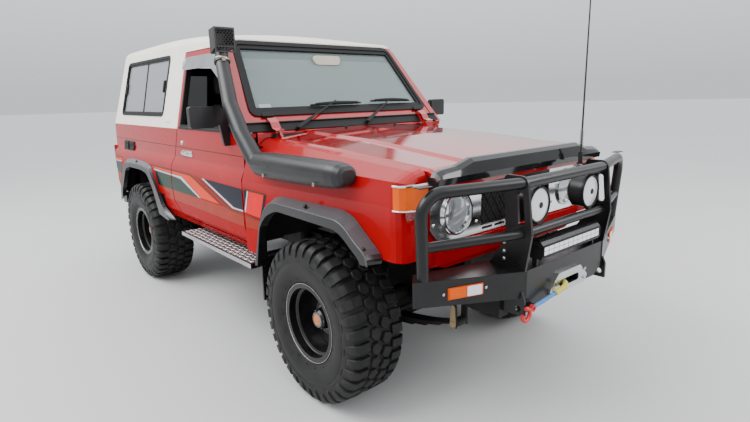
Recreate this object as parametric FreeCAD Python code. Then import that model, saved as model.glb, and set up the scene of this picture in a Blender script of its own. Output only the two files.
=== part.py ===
"""Lifted two-door off-road 4x4 with a moulded hard top, bull bar, winch and snorkel.

Built in millimetres from the centre of the front axle on the ground: +X forward, +Y to the
vehicle's left, +Z up.  At the end every piece is moved along X, so that the origin lies on
the ground under the middle of the vehicle's length.  The right-hand side is the -Y side.
"""
import FreeCAD
import Part
import math
import os

V = FreeCAD.Vector

# Wheels and axles
WHEELBASE = 2600.0
TRACK = 1480.0
TYRE_RADIUS = 419.0
TYRE_WIDTH = 318.0
RIM_RADIUS = 190.5
RIM_WIDTH = 254.0
RIM_LIP = 17.0
RIM_LIP_THICKNESS = 6.0
RIM_WALL = 9.0
LUG_COUNT = 16
LUG_ANGLE = 7.5
GROOVE_ANGLE = 360.0 / LUG_COUNT - LUG_ANGLE
LUG_HEIGHT = 17.0
LUG_INNER_Y = 52.0
CROWN_HALF = 122.0
FIT = 0.5
AXLE_TUBE_RADIUS = 42.0
DIFF_RADIUS = 140.0
DIFF_OFFSET = 150.0
KINGPIN_INSET = 134.0
BALL_RADIUS = 84.0
KNUCKLE_WALL = 16.0
STEER_ARM_LENGTH = 205.0
STEER_ARM_DROP = 24.0
STEER_ARM_HEIGHT = 20.0
STEER_ARM_INSET = 50.0
STEER_EYE_RADIUS = 16.0
TIE_ROD_RADIUS = 17.0
HUB_RADIUS = 78.0
HUB_CAP_RADIUS = 50.0
HUB_CAP_REACH = 78.0

# Chassis
RAIL_OUTER_HALF = 385.0
RAIL_WIDTH = 70.0
RAIL_HEIGHT = 125.0
RAIL_TOP_Z = 680.0
CROSS_MEMBERS = ((560.0, 575.0, 665.0), (-670.0, 555.0, 589.7), (-1900.0, 590.0, 665.0),
                 (-3170.0, 575.0, 665.0))
FRAME_FRONT_X = 800.0
FRAME_REAR_X = -3230.0
SPRING_HALF_SPACING = 370.0
SHOCK_HALF_SPACING = 430.0
SHOCK_RADIUS = 24.0
SPRING_WIDTH = 68.0
SPRING_LEAF = 9.0
SPRING_LEAVES = 5
SPRING_HALF_LENGTH = 560.0
SPRING_RISE = 95.0

# Body shell, right-hand side half widths and heights
SILL_Z = 650.0
DOOR_BOTTOM_Z = 697.0
BELT_Z = 1335.0
DOOR_TOP_Z = 1865.0
SHOULDER_LOW_Z = 1075.0
SHOULDER_TOP_Z = 1135.0
BODY_HALF = 852.0
WAIST_HALF = BODY_HALF - 26
BELT_HALF = BODY_HALF - 32
GUTTER_HALF = BELT_HALF - 118
SILL_HALF = BODY_HALF - 52
OUTSIDE = BODY_HALF + 150
DOOR_THICKNESS = 80.0
FRAME_THICKNESS = 38.0
DOOR_GAP = 8.0
DOOR_FRONT_X = -671.0
DOOR_REAR_X = -1690.0
DOOR_BULGE_X = -1828.0
PILLAR_RAKE = 0.77
ROOF_CROWN_Z = 2030.0
ROOF_FRONT_Z = 1934.0
ROOF_THICKNESS = 28.0
BODY_REAR_X = -3300.0
HINGE_AXIS_X = -665.0
DOOR_HINGE_Y = BODY_HALF - 4.5
DOOR_HINGE_Z = (860.0, 1040.0)
REAR_HINGE_Z = (860.0, 1230.0)
REAR_HINGE_OUT = 10.0
ROOF_REAR_SET = 165.0
FLOOR_Z = 700.0
FLOOR_THICKNESS = 26.0
WHEEL_BOX_REACH = 470.0
WHEEL_BOX_INNER = TRACK / 2 - 195
WHEEL_BOX_TOP = 1020.0
REAR_DOOR_THICKNESS = 48.0
REAR_DOOR_BOTTOM_Z = 725.0
REAR_DOOR_SPLIT_Y = 175.0

# Guards, bonnet and nose
GUARD_REAR_X = -659.0
GUARD_FRONT_X = 600.0
GUARD_SKIN = 12.0
GUARD_CORNER = 60.0
POST_HALF = BODY_HALF - 60
APRON_BOTTOM_Z = 872.0
BONNET_GAP = 6.0
BONNET_REAR_X = -628.0
BONNET_FRONT_X = 672.0
BONNET_THICKNESS = 22.0
BONNET_HINGE_Y = BODY_HALF - 236
HINGE_LUG = 22.0
HINGE_X = -682.0
HINGE_Z = 1404.0
PIN_RADIUS = 5.0
PIN_CLEARANCE = 0.05
DOOR_PIN_RADIUS = 3.0
REAR_PIN_RADIUS = 5.0
LAMP_RADIUS = 89.0
LAMP_Z = 1018.0
BEZEL_HALF = BODY_HALF - 224
LAMP_HALF_SPACING = BEZEL_HALF - 171
APRON_HALF = LAMP_HALF_SPACING + 13
BEZEL_BOTTOM_Z = 898.0
BEZEL_TOP_Z = 1135.0
BEZEL_X = 612.0
MESH_PITCH = 52.0
MESH_SLOPE = 0.74
GRILLE_HALF = LAMP_HALF_SPACING - 172

# Windscreen
SCREEN_BASE_X = -668.0
SCREEN_BASE_Z = 1352.0
SCREEN_TOP_Z = 1893.0
SCREEN_FRAME_DEPTH = 48.0
GLASS_THICKNESS = 6.0

# Front bar
BAR_FRONT_X = 925.0
WING_HALF = 845.0
WING_FRONT_X = 727.0
WING_TOP_Z = 819.0
WING_BOTTOM_Z = 713.0
PANEL_HALF = 345.0
PANEL_X = 898.0
PANEL_TOP_Z = 789.0
PANEL_BOTTOM_Z = 622.0
PLATE = 6.0
DRUM_X = 775.0
DRUM_Z = 715.0
DRUM_RADIUS = 52.0
FAIRLEAD_THICKNESS = 16.0
BAR_TUBE_RADIUS = 25.0
HOOP_HALF = 815.0
HOOP_X = 737.0
HOOP_TOP_Z = 1165.0
MID_TUBE_Z = 950.0
SPOT_HALF_SPACING = 222.0
SPOT_RADIUS = 79.0
SPOT_Z = 1056.5
SPOT_FRONT_X = 872.0
UPRIGHT_HALF = 338.0
UPRIGHT_THICKNESS = 14.0
UPRIGHT_DEPTH = 120.0

# Fittings
RECEIVER_HALF = 25.5
RECEIVER_Z = 520.0
HITCH_PIN_RADIUS = 8.0
HITCH_PIN_REACH = 92.0
TOW_EYE_RADIUS = 14.0
TOW_EYE_X = 882.0
TOW_EYE_Z = 622.0
FLARE_HALF = BODY_HALF + 34
FIREWALL_HALF = BODY_HALF - 212
STEP_HALF = BODY_HALF + 48
MIRROR_HALF = BODY_HALF + 203
SPARE_GAP = 26.0
SPARE_Y = -262.0
SPARE_Z = 1108.0
ANTENNA_TOP_Z = 2420.0

HALF_TRACK = TRACK / 2
REAR_AXLE_X = -WHEELBASE
KINGPIN_HALF = HALF_TRACK - KINGPIN_INSET
WHEEL_Z = TYRE_RADIUS
SPARE_REAR_X = BODY_REAR_X - SPARE_GAP - TYRE_WIDTH
ORIGIN_SHIFT = -(BAR_FRONT_X + SPARE_REAR_X) / 2


# Small helpers for the solids

def box(x0, x1, y0, y1, z0, z1):
    return Part.makeBox(x1 - x0, y1 - y0, z1 - z0, V(x0, y0, z0))


def rod(start, end, radius):
    along = end - start
    return Part.makeCylinder(radius, along.Length, start, along)


def ring(start, end, outer, inner):
    return rod(start, end, outer).cut(rod(start, end, inner))


def round_wire(points, radii):
    """A closed wire through the points, its corners rounded by tangent arcs."""
    count = len(points)
    if not isinstance(radii, (list, tuple)):
        radii = [radii] * count
    edges = []
    starts = []
    ends = []
    mids = []
    for i, corner in enumerate(points):
        before = (points[i - 1] - corner).normalize()
        after = (points[(i + 1) % count] - corner).normalize()
        half = before.getAngle(after) / 2
        radius = radii[i]
        if radius <= 0:
            starts.append(corner)
            ends.append(corner)
            mids.append(None)
            continue
        reach = radius / math.tan(half)
        bisector = (before + after).normalize()
        centre = corner + bisector * (radius / math.sin(half))
        starts.append(corner + before * reach)
        ends.append(corner + after * reach)
        mids.append(centre - bisector * radius)
    for i in range(count):
        if mids[i] is not None:
            edges.append(Part.Arc(starts[i], mids[i], ends[i]).toShape())
        following = starts[(i + 1) % count]
        if (following - ends[i]).Length > 1e-6:
            edges.append(Part.LineSegment(ends[i], following).toShape())
    return Part.Wire(edges)


def prism_xz(points, y0, y1, radii=0):
    wire = round_wire([V(x, y0, z) for x, z in points], radii)
    return Part.Face(wire).extrude(V(0, y1 - y0, 0))


def prism_yz(points, x0, x1, radii=0):
    wire = round_wire([V(x0, y, z) for y, z in points], radii)
    return Part.Face(wire).extrude(V(x1 - x0, 0, 0))


def prism_xy(points, z0, z1, radii=0):
    wire = round_wire([V(x, y, z0) for x, y in points], radii)
    return Part.Face(wire).extrude(V(0, 0, z1 - z0))


def loft_yz(sections):
    """A ruled solid through closed sections, each (x, [(y, z), ...]) with as many points."""
    wires = [round_wire([V(x, y, z) for y, z in points], 0) for x, points in sections]
    return Part.makeLoft(wires, True, True)


def loft_xz(sections):
    """The same through sections (y, [(x, z), ...])."""
    wires = [round_wire([V(x, y, z) for x, z in points], 0) for y, points in sections]
    return Part.makeLoft(wires, True, True)


def turned(profile, centre):
    """A solid of revolution about the Y direction; the profile holds (y offset, radius)."""
    points = [V(centre.x, centre.y + offset, centre.z + radius) for offset, radius in profile]
    return Part.Face(round_wire(points, 0)).revolve(centre, V(0, 1, 0), 360)


def bent_path(points, radius):
    """Straight runs joined by tangent arcs, open at both ends."""
    edges = []
    last = points[0]
    for i in range(1, len(points) - 1):
        corner = points[i]
        before = (points[i - 1] - corner).normalize()
        after = (points[i + 1] - corner).normalize()
        half = before.getAngle(after) / 2
        reach = radius / math.tan(half)
        bisector = (before + after).normalize()
        centre = corner + bisector * (radius / math.sin(half))
        first = corner + before * reach
        second = corner + after * reach
        edges.append(Part.LineSegment(last, first).toShape())
        edges.append(Part.Arc(first, centre - bisector * radius, second).toShape())
        last = second
    edges.append(Part.LineSegment(last, points[-1]).toShape())
    return Part.Wire(edges)


def bent_tube(points, radius, bend):
    path = bent_path(points, bend)
    section = Part.Wire([Part.Circle(points[0], points[1] - points[0], radius).toShape()])
    return path.makePipeShell([section], True, False)


def fused(pieces):
    solid = pieces[0]
    for piece in pieces[1:]:
        solid = solid.fuse(piece)
    return solid.removeSplitter()


def mirrored(shape):
    return shape.mirror(V(0, 0, 0), V(0, 1, 0))


def both_sides(shape):
    return Part.makeCompound([shape, mirrored(shape)])


def grown(points, distance):
    """The polygon of (a, b) points with every edge moved outwards by the distance."""
    area = sum(points[i - 1][0] * p[1] - p[0] * points[i - 1][1] for i, p in enumerate(points))
    turn = 1.0 if area > 0 else -1.0
    lines = []
    for i, (a, b) in enumerate(points):
        c, d = points[(i + 1) % len(points)]
        length = math.hypot(c - a, d - b)
        out = (turn * (d - b) / length, -turn * (c - a) / length)
        lines.append(((a + out[0] * distance, b + out[1] * distance), (c - a, d - b)))
    corners = []
    for i, (point, along) in enumerate(lines):
        before, back = lines[i - 1]
        cross = back[0] * along[1] - back[1] * along[0]
        share = ((point[0] - before[0]) * along[1] - (point[1] - before[1]) * along[0]) / cross
        corners.append((before[0] + back[0] * share, before[1] + back[1] * share))
    return corners


# Wheels

def tyre_profiles():
    """Half sections as (y offset, radius) from the bead out: through a lug, and between two lugs."""
    half = TYRE_WIDTH / 2
    bead = RIM_WIDTH / 2 - 2
    bead_radius = RIM_RADIUS / math.cos(math.radians(GROOVE_ANGLE / 2))
    tread = TYRE_RADIUS / math.cos(math.radians(LUG_ANGLE / 2))
    floor_radius = tread - LUG_HEIGHT
    wall_radius = bead_radius + 110
    foot_radius = wall_radius + 30
    foot = half - (half - CROWN_HALF) * 30 / (floor_radius - wall_radius)
    wall = [(bead, bead_radius), (bead, bead_radius + RIM_LIP + 3), (half, wall_radius), (foot, foot_radius)]
    lug = wall + [(half, foot_radius + 36), (half - 25, tread - 2), (LUG_INNER_Y, tread),
                  (LUG_INNER_Y, floor_radius)]
    groove = wall + [(CROWN_HALF, floor_radius), (LUG_INNER_Y, floor_radius)]
    return lug, groove


def tyre():
    """An off-road tyre about the Y direction, as flat facets with a row of shoulder lugs on each side."""
    lug, groove = tyre_profiles()
    pitch = 360.0 / LUG_COUNT
    lug_loop = lug + [(-y, r) for y, r in reversed(lug)]
    groove_loop = groove + [(-y, r) for y, r in reversed(groove)]
    step = lug[3:] + [groove[4]]
    faces = []
    for k in range(LUG_COUNT):
        first = math.radians(k * pitch - 90 - LUG_ANGLE / 2)
        second = math.radians(k * pitch - 90 + LUG_ANGLE / 2)
        third = math.radians((k + 1) * pitch - 90 - LUG_ANGLE / 2)
        faces += sector_faces(lug_loop, first, second) + sector_faces(groove_loop, second, third)
        for angle in (first, second):
            for side in (-1, 1):
                loop = [around(side * y, r, angle) for y, r in step]
                faces.append(Part.Face(Part.makePolygon(loop + loop[:1])))
    shell = Part.makeShell(faces)
    shell.sewShape()
    return Part.Solid(shell).removeSplitter()


def around(y, radius, angle):
    return V(radius * math.cos(angle), y, radius * math.sin(angle))


def sector_faces(loop, start, end):
    """One flat face for each side of the (y, radius) loop, between two angles about Y."""
    faces = []
    for i, (y, r) in enumerate(loop):
        next_y, next_r = loop[(i + 1) % len(loop)]
        corners = [around(y, r, start), around(y, r, end), around(next_y, next_r, end),
                   around(next_y, next_r, start)]
        faces.append(Part.Face(Part.makePolygon(corners + corners[:1])))
    return faces


def moved(shape, place):
    copy = shape.copy()
    copy.translate(place)
    return copy


def rim(centre, out, with_hub):
    """A deep-dish steel rim; out is +1 where its outside faces +Y."""
    seat = RIM_RADIUS - FIT
    half = RIM_WIDTH / 2
    lip = RIM_RADIUS + RIM_LIP
    inner = seat - RIM_WALL
    well = inner - 14
    profile = [
        (half + RIM_LIP_THICKNESS, seat), (half + RIM_LIP_THICKNESS, lip), (half, lip), (half, seat),
        (-half, seat), (-half, lip), (-half - RIM_LIP_THICKNESS, lip), (-half - RIM_LIP_THICKNESS, inner),
        (-20, inner), (-12, well - 6), (0, 96), (-14, 84), (-14, 40), (-4, 40), (-4, 76), (14, 100),
        (8, well), (half - 44, well), (half - 34, inner), (half + RIM_LIP_THICKNESS, inner),
    ]
    solid = turned([(offset * out, radius) for offset, radius in profile], centre)
    if not with_hub:
        return solid.fuse(ring(centre + V(0, -14 * out, 0), centre + V(0, -4 * out, 0), 45, 30))
    hub = turned([(offset * out, radius) for offset, radius in [
        (-26, 30.5), (-26, HUB_RADIUS), (-4, HUB_RADIUS), (-4, 62), (30, 58),
        (HUB_CAP_REACH - 12, HUB_CAP_RADIUS), (HUB_CAP_REACH, HUB_CAP_RADIUS - 12),
        (HUB_CAP_REACH, 0.0), (20, 0.0), (20, 30.5),
    ]], centre)
    nuts = []
    for k in range(6):
        angle = math.radians(60 * k)
        place = centre + V(70 * math.sin(angle), 0, 70 * math.cos(angle))
        nuts.append(rod(place + V(0, -5 * out, 0), place + V(0, 18 * out, 0), 11))
    return fused([solid, hub] + nuts)


def hand_wheel_places():
    return {
        "front_right": (V(0, -HALF_TRACK, WHEEL_Z), -1),
        "front_left": (V(0, HALF_TRACK, WHEEL_Z), 1),
        "rear_right": (V(REAR_AXLE_X, -HALF_TRACK, WHEEL_Z), -1),
        "rear_left": (V(REAR_AXLE_X, HALF_TRACK, WHEEL_Z), 1),
    }


def spare_place(shape):
    """Turns a wheel's piece so that its outside faces back and puts it on the spare's carrier."""
    shape.rotate(V(0, 0, 0), V(0, 0, 1), 90)
    shape.translate(V(SPARE_REAR_X + TYRE_WIDTH / 2, SPARE_Y, SPARE_Z))
    return shape


def spare_tyre():
    return spare_place(tyre())


def spare_rim():
    return spare_place(rim(V(0, 0, 0), 1, False))


# Axles, steering and springs

def front_axle():
    """A beam with the differential to the right and a swivel ball at each end."""
    ball_y = KINGPIN_HALF
    tube = rod(V(0, -ball_y, WHEEL_Z), V(0, ball_y, WHEEL_Z), AXLE_TUBE_RADIUS)
    housing = rod(V(0, -DIFF_OFFSET - 62, WHEEL_Z), V(0, -DIFF_OFFSET + 62, WHEEL_Z), DIFF_RADIUS)
    nose = rod(V(-60, -DIFF_OFFSET, WHEEL_Z), V(-235, -DIFF_OFFSET, WHEEL_Z + 8), 58)
    balls = [Part.makeSphere(BALL_RADIUS, V(0, side * ball_y, WHEEL_Z)) for side in (-1, 1)]
    pads = [spring_pad(0, side) for side in (-1, 1)]
    return fused([tube, housing, nose] + balls + pads)


def spring_pad(x, side):
    y = side * SPRING_HALF_SPACING
    return box(x - 55, x + 55, y - SPRING_WIDTH / 2, y + SPRING_WIDTH / 2, spring_seat_z(), WHEEL_Z)


def spring_seat_z():
    return WHEEL_Z - AXLE_TUBE_RADIUS - 8


def rear_axle():
    """A plain beam with brake back plates inside the wheels."""
    end = HALF_TRACK - 34
    tube = rod(V(REAR_AXLE_X, -end, WHEEL_Z), V(REAR_AXLE_X, end, WHEEL_Z), AXLE_TUBE_RADIUS)
    housing = rod(V(REAR_AXLE_X, -70, WHEEL_Z), V(REAR_AXLE_X, 70, WHEEL_Z), DIFF_RADIUS)
    nose = rod(V(REAR_AXLE_X + 60, 0, WHEEL_Z), V(REAR_AXLE_X + 235, 0, WHEEL_Z + 8), 58)
    pieces = [tube, housing, nose]
    for side in (-1, 1):
        inner = V(REAR_AXLE_X, side * (end - 60), WHEEL_Z)
        outer = V(REAR_AXLE_X, side * end, WHEEL_Z)
        pieces.append(rod(inner, outer, 150))
        pieces.append(rod(outer, outer + V(0, side * 40, 0), 30))
        pieces.append(spring_pad(REAR_AXLE_X, side))
    return fused(pieces)


def knuckle(side):
    """The swivel housing round the ball, with its spindle, steering arm and brake caliper."""
    centre = V(0, side * KINGPIN_HALF, WHEEL_Z)
    inner = BALL_RADIUS + FIT
    outer = inner + KNUCKLE_WALL
    shell = Part.makeSphere(outer, centre).cut(Part.makeSphere(inner, centre))
    open_half = box(-300, 300, -300, 300, -300, 300)
    open_half.translate(centre + V(0, -side * (300 + 30), 0))
    shell = shell.cut(open_half)
    end_y = side * (HALF_TRACK - 30)
    spindle_foot = rod(centre + V(0, side * (inner + 4), 0), V(0, end_y, WHEEL_Z), 62)
    spindle_foot = spindle_foot.cut(Part.makeSphere(inner, centre))
    spindle = rod(V(0, end_y, WHEEL_Z), V(0, side * (HALF_TRACK + 18), WHEEL_Z), 30)
    arm_end = steer_arm_end(side)
    arm_z = WHEEL_Z - STEER_ARM_DROP
    arm = prism_xy([
        (88, side * (KINGPIN_HALF + 12)), (88, side * (KINGPIN_HALF - 28)),
        (arm_end.x, arm_end.y - side * 13), (arm_end.x + 4, arm_end.y + side * 13),
    ], arm_z, arm_z + STEER_ARM_HEIGHT)
    eye = rod(V(arm_end.x, arm_end.y, arm_z), V(arm_end.x, arm_end.y, arm_z + STEER_ARM_HEIGHT),
              STEER_EYE_RADIUS)
    caliper = box(-128, -70, -26, 26, 30, 110)
    caliper.translate(V(0, side * (KINGPIN_HALF + 20), WHEEL_Z))
    caliper = caliper.cut(Part.makeSphere(inner, centre))
    caps = [rod(centre + V(0, 0, up * (inner + 6)), centre + V(0, 0, up * (outer + 14)), 26) for up in (-1,
                                                                                                        1)]
    return fused([shell, spindle_foot, spindle, arm, eye, caliper] + caps)


def steer_arm_end(side):
    return V(STEER_ARM_LENGTH, side * (KINGPIN_HALF - STEER_ARM_INSET), WHEEL_Z)


def tie_rod():
    """The rod ahead of the axle that makes both front wheels steer together."""
    right = steer_arm_end(-1)
    left = steer_arm_end(1)
    low = -STEER_ARM_DROP + STEER_ARM_HEIGHT + FIT / 2
    lift = V(0, 0, low + 15)
    pieces = [rod(right + lift, left + lift, TIE_ROD_RADIUS - 4)]
    for end in (right, left):
        pieces.append(rod(end + V(0, 0, low), end + V(0, 0, low + 32), STEER_EYE_RADIUS))
    return fused(pieces)


def leaf_pack(axle_x, side):
    """Leaves under the axle, from the fixed eye to the shackle."""
    y0 = side * SPRING_HALF_SPACING - SPRING_WIDTH / 2
    y1 = y0 + SPRING_WIDTH
    top = spring_seat_z() - 1.2
    pieces = []
    for leaf in range(SPRING_LEAVES):
        reach = SPRING_HALF_LENGTH * (1 - 0.17 * leaf)
        rise = SPRING_RISE * (reach / SPRING_HALF_LENGTH) ** 2
        z = top - SPRING_LEAF * leaf
        points_top = [V(axle_x - reach, y0, z + rise), V(axle_x, y0, z), V(axle_x + reach, y0, z + rise)]
        down = V(0, 0, -SPRING_LEAF)
        upper = Part.Arc(points_top[0], points_top[1], points_top[2]).toShape()
        lower = Part.Arc(points_top[2] + down, points_top[1] + down, points_top[0] + down).toShape()
        end_a = Part.LineSegment(points_top[2], points_top[2] + down).toShape()
        end_b = Part.LineSegment(points_top[0] + down, points_top[0]).toShape()
        leaf_face = Part.Face(Part.Wire([upper, end_a, lower, end_b]))
        pieces.append(leaf_face.extrude(V(0, y1 - y0, 0)))
    for end in (-1, 1):
        eye_z = top + SPRING_RISE - SPRING_LEAF / 2
        eye_x = axle_x + end * SPRING_HALF_LENGTH
        pieces.append(rod(V(eye_x, y0, eye_z), V(eye_x, y1, eye_z), 22))
    bottom = top - SPRING_LEAF * SPRING_LEAVES
    ya, yb = sorted((side * (SPRING_HALF_SPACING - SPRING_WIDTH / 2 - 10), side * (SHOCK_HALF_SPACING + 20)))
    pieces.append(box(axle_x - 80, axle_x + 80, ya, yb, bottom - 14, bottom))
    for along in (-1, 1):
        for across in (y0 - 6, y1 + 6):
            x = axle_x + along * 47
            pieces.append(rod(V(x, across, bottom - 14), V(x, across, WHEEL_Z + AXLE_TUBE_RADIUS + 8), 5))
    for along in (-1, 1):
        x = axle_x + along * 47
        z = WHEEL_Z + AXLE_TUBE_RADIUS + 8
        pieces.append(rod(V(x, y0 - 6, z), V(x, y1 + 6, z), 5))
    pieces.append(shackle(axle_x, y0, y1))
    pieces.append(fixed_hanger(axle_x, y0, y1))
    return fused(pieces)


def spring_eye(axle_x, end):
    return V(axle_x + end * SPRING_HALF_LENGTH, 0, spring_seat_z() - FIT + SPRING_RISE - SPRING_LEAF / 2)


def shackle(axle_x, y0, y1):
    """Two plates from the spring's eye to its bush under the rail."""
    end = 1 if axle_x == 0 else -1
    eye = spring_eye(axle_x, end)
    plates = []
    for y in (y0 - 9, y1 + 1):
        plates.append(prism_xz([
            (eye.x - 18, eye.z - 22), (eye.x + 18, eye.z - 22),
            (eye.x + 18, RAIL_TOP_Z - RAIL_HEIGHT - FIT), (eye.x - 18, RAIL_TOP_Z - RAIL_HEIGHT - FIT),
        ], y, y + 8))
    plates.append(rod(V(eye.x, y0 - 16, eye.z), V(eye.x, y1 + 16, eye.z), 9))
    return fused(plates)


def fixed_hanger(axle_x, y0, y1):
    end = -1 if axle_x == 0 else 1
    eye = spring_eye(axle_x, end)
    low = RAIL_TOP_Z - RAIL_HEIGHT - FIT
    return prism_xz([(eye.x - 60, low), (eye.x - 16, eye.z - 10), (eye.x + 16, eye.z - 10),
                     (eye.x + 60, low)], y0 + 4, y1 - 4)


def suspension():
    packs = []
    for axle_x in (0.0, REAR_AXLE_X):
        for side in (-1, 1):
            packs.append(leaf_pack(axle_x, side))
            packs.append(shock_absorber(axle_x, side))
    return Part.makeCompound(packs)


def shock_absorber(axle_x, side):
    """A telescopic damper from the spring's plate to a bracket on the outside of the rail."""
    lean = 1 if axle_x == 0 else -1
    y = side * SHOCK_HALF_SPACING
    low = spring_seat_z() - 1.2 - SPRING_LEAF * SPRING_LEAVES
    foot = V(axle_x + lean * 68, y, low + FIT / 2)
    head = V(axle_x + lean * 112, y, RAIL_TOP_Z - 30)
    along = (head - foot).normalize()
    pieces = [rod(V(foot.x, y, foot.z), V(foot.x, y, foot.z + 30), 11),
              rod(foot + along * 24, foot + along * 165, SHOCK_RADIUS)]
    pieces.append(rod(foot + along * 160, head, 14))
    ya, yb = sorted((side * (RAIL_OUTER_HALF + FIT / 2), side * (SHOCK_HALF_SPACING + 16)))
    pieces.append(box(head.x - 22, head.x + 22, ya, yb, head.z - 8, head.z + 26))
    return fused(pieces)


# Ladder frame and running gear

def frame():
    """Two box rails with cross members, body mounts and bumper ends."""
    low = RAIL_TOP_Z - RAIL_HEIGHT
    inner_half = RAIL_OUTER_HALF - RAIL_WIDTH
    pieces = []
    for side in (-1, 1):
        y0, y1 = sorted((side * inner_half, side * RAIL_OUTER_HALF))
        pieces.append(box(FRAME_REAR_X, FRAME_FRONT_X, y0, y1, low, RAIL_TOP_Z))
        for x in (-700.0, -1500.0, -2050.0, -3100.0):
            mount_y = side * (RAIL_OUTER_HALF + 40)
            pieces.append(rod(V(x, mount_y, RAIL_TOP_Z - 40), V(x, mount_y, FLOOR_Z), 32))
            ya, yb = sorted((side * (RAIL_OUTER_HALF - 5), mount_y))
            pieces.append(box(x - 32, x + 32, ya, yb, RAIL_TOP_Z - 40, RAIL_TOP_Z - 28))
    for x, foot, head in CROSS_MEMBERS:
        pieces.append(box(x - 45, x + 45, -inner_half, inner_half, foot, head))
    return fused(pieces)


def drivetrain():
    """The engine as one plain block, the gearbox with its transfer case, the radiator and two shafts."""
    engine = prism_yz([(-190, 640), (190, 640), (240, 760), (240, 1120), (150, 1210), (-150, 1210),
                       (-240, 1120), (-240, 760)], -430, 330)
    bell = rod(V(-430, 0, 760), V(-620, 0, 740), 190)
    gearbox = prism_yz([(-130, 590), (130, 590), (150, 690), (-150, 690)], -1500, -560)
    transfer = box(-1500, -1260, -230, 130, 520, 690)
    block = fused([engine, bell, gearbox, transfer])
    radiator = box(500, 540, -262, 262, CROSS_MEMBERS[0][2] + FIT / 2, 1140)
    front = rod(V(-1259, -DIFF_OFFSET, 570), V(-239, -DIFF_OFFSET, WHEEL_Z + 12), 32)
    rear = rod(V(-1506, 0, 590), V(REAR_AXLE_X + 242, 0, WHEEL_Z + 12), 38)
    return Part.makeCompound([block, radiator, front, rear])


def fuel_tank():
    inner = RAIL_OUTER_HALF - RAIL_WIDTH
    return prism_yz([(-inner + 25, 520), (-60, 480), (170, 480), (170, 668), (-inner + 25, 668)], -3124.7,
                    -2860, 25)


def exhaust():
    """A silencer and its pipe along the left of the gearbox, out behind the left rear wheel."""
    y, z = 236.3, 523.0
    muffler = rod(V(-1850, y, z), V(-1250, y, z), 68)
    front = bent_tube([V(-1252, y, z), V(-520, y, z), V(-360, y + 30, 640), V(-300, y + 30, 760)], 26, 110)
    tail = bent_tube([V(-1848, y, z), V(-2940, y + 30, z), V(-3085, y + 130, z), V(-3085, 640, z)], 26, 90)
    return fused([muffler, front, tail])


# Body side panels and doors

def lower_side_outer():
    return [(SILL_HALF, SILL_Z), (BODY_HALF - 14, SILL_Z + 70), (BODY_HALF, SILL_Z + 150),
            (BODY_HALF, SHOULDER_LOW_Z), (WAIST_HALF, SHOULDER_TOP_Z), (BELT_HALF, BELT_Z)]


def lower_wall(thickness, x0, x1):
    outer = lower_side_outer()
    inner = [(y - thickness, z) for y, z in reversed(outer)]
    return prism_yz(outer + inner, x0, x1)


def upper_wall(thickness, x0, x1):
    return prism_yz([(BELT_HALF, BELT_Z), (GUTTER_HALF, DOOR_TOP_Z),
                     (GUTTER_HALF - thickness, DOOR_TOP_Z), (BELT_HALF - thickness, BELT_Z)], x0, x1)


def screen_x(z):
    """The windscreen surround's raked face at a height."""
    return SCREEN_BASE_X - PILLAR_RAKE * (z - SCREEN_BASE_Z)


def pillar_front_x(z):
    """The raked front edge of the roof pillar at a height."""
    return screen_x(z) + 6


def door_outline():
    """The side door seen from the side, from its front lower corner round the top."""
    top = DOOR_TOP_Z - 6
    pillar = 104.0
    return [
        (DOOR_FRONT_X, DOOR_BOTTOM_Z), (DOOR_FRONT_X, BELT_Z - 30),
            (pillar_front_x(BELT_Z) - pillar + 8, BELT_Z),
        (pillar_front_x(top) - pillar, top), (DOOR_REAR_X, top), (DOOR_REAR_X, BELT_Z),
        (DOOR_REAR_X - 48, 1206.0), (DOOR_BULGE_X + 22, 1030.0), (DOOR_BULGE_X, 910.0),
        (DOOR_BULGE_X + 26, 800.0), (DOOR_REAR_X + 14, DOOR_BOTTOM_Z),
    ]


def window_outline():
    top = DOOR_TOP_Z - 52
    front_low = pillar_front_x(BELT_Z + 14) - 156
    front_top = pillar_front_x(top) - 148
    return [(front_low, BELT_Z + 14), (front_top, top), (DOOR_REAR_X + 46, top),
            (DOOR_REAR_X + 46, BELT_Z + 14)]


def side_door():
    """The left door: a thick lower part, a slim frame round its window and two hinge pins."""
    cutter = prism_xz(door_outline(), 500, OUTSIDE, [6, 6, 0, 26, 26, 0, 0, 0, 30, 50, 30])
    lower = lower_wall(DOOR_THICKNESS, -1900, -600).common(cutter)
    upper = upper_wall(FRAME_THICKNESS, -1900, -600).common(cutter)
    door = fused([lower, upper])
    door = door.cut(prism_xz(window_outline(), 500, OUTSIDE, [18, 30, 30, 18]))
    y = DOOR_HINGE_Y
    for z in DOOR_HINGE_Z:
        pieces = [rod(V(HINGE_AXIS_X, y, z - 30), V(HINGE_AXIS_X, y, z + 30), DOOR_PIN_RADIUS)]
        for low in (z - 30, z + 10.3):
            pieces.append(box(DOOR_FRONT_X - 3, HINGE_AXIS_X + 1, y - 6, y + 1, low, low + 19.7))
        door = fused([door] + pieces)
    return door


def door_opening():
    return prism_xz(grown(door_outline(), DOOR_GAP), 400, OUTSIDE)


def door_glass():
    """The left window, a pane in the middle of the frame's thickness."""
    pane = prism_yz([(BELT_HALF - 16, BELT_Z), (GUTTER_HALF - 16, DOOR_TOP_Z),
                     (GUTTER_HALF - 21, DOOR_TOP_Z), (BELT_HALF - 21, BELT_Z)], -1900, -600)
    return pane.common(prism_xz(grown(window_outline(), -FIT / 2), 500, OUTSIDE, [18, 30, 30, 18]))


def rear_arch_outline():
    x = REAR_AXLE_X
    return [(x + 600, 560.0), (x + 540, 680.0), (x + 425, 840.0), (x + 310, 990.0), (x - 330, 990.0),
            (x - 500, 730.0),
            (x - 545, 560.0)]


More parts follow.
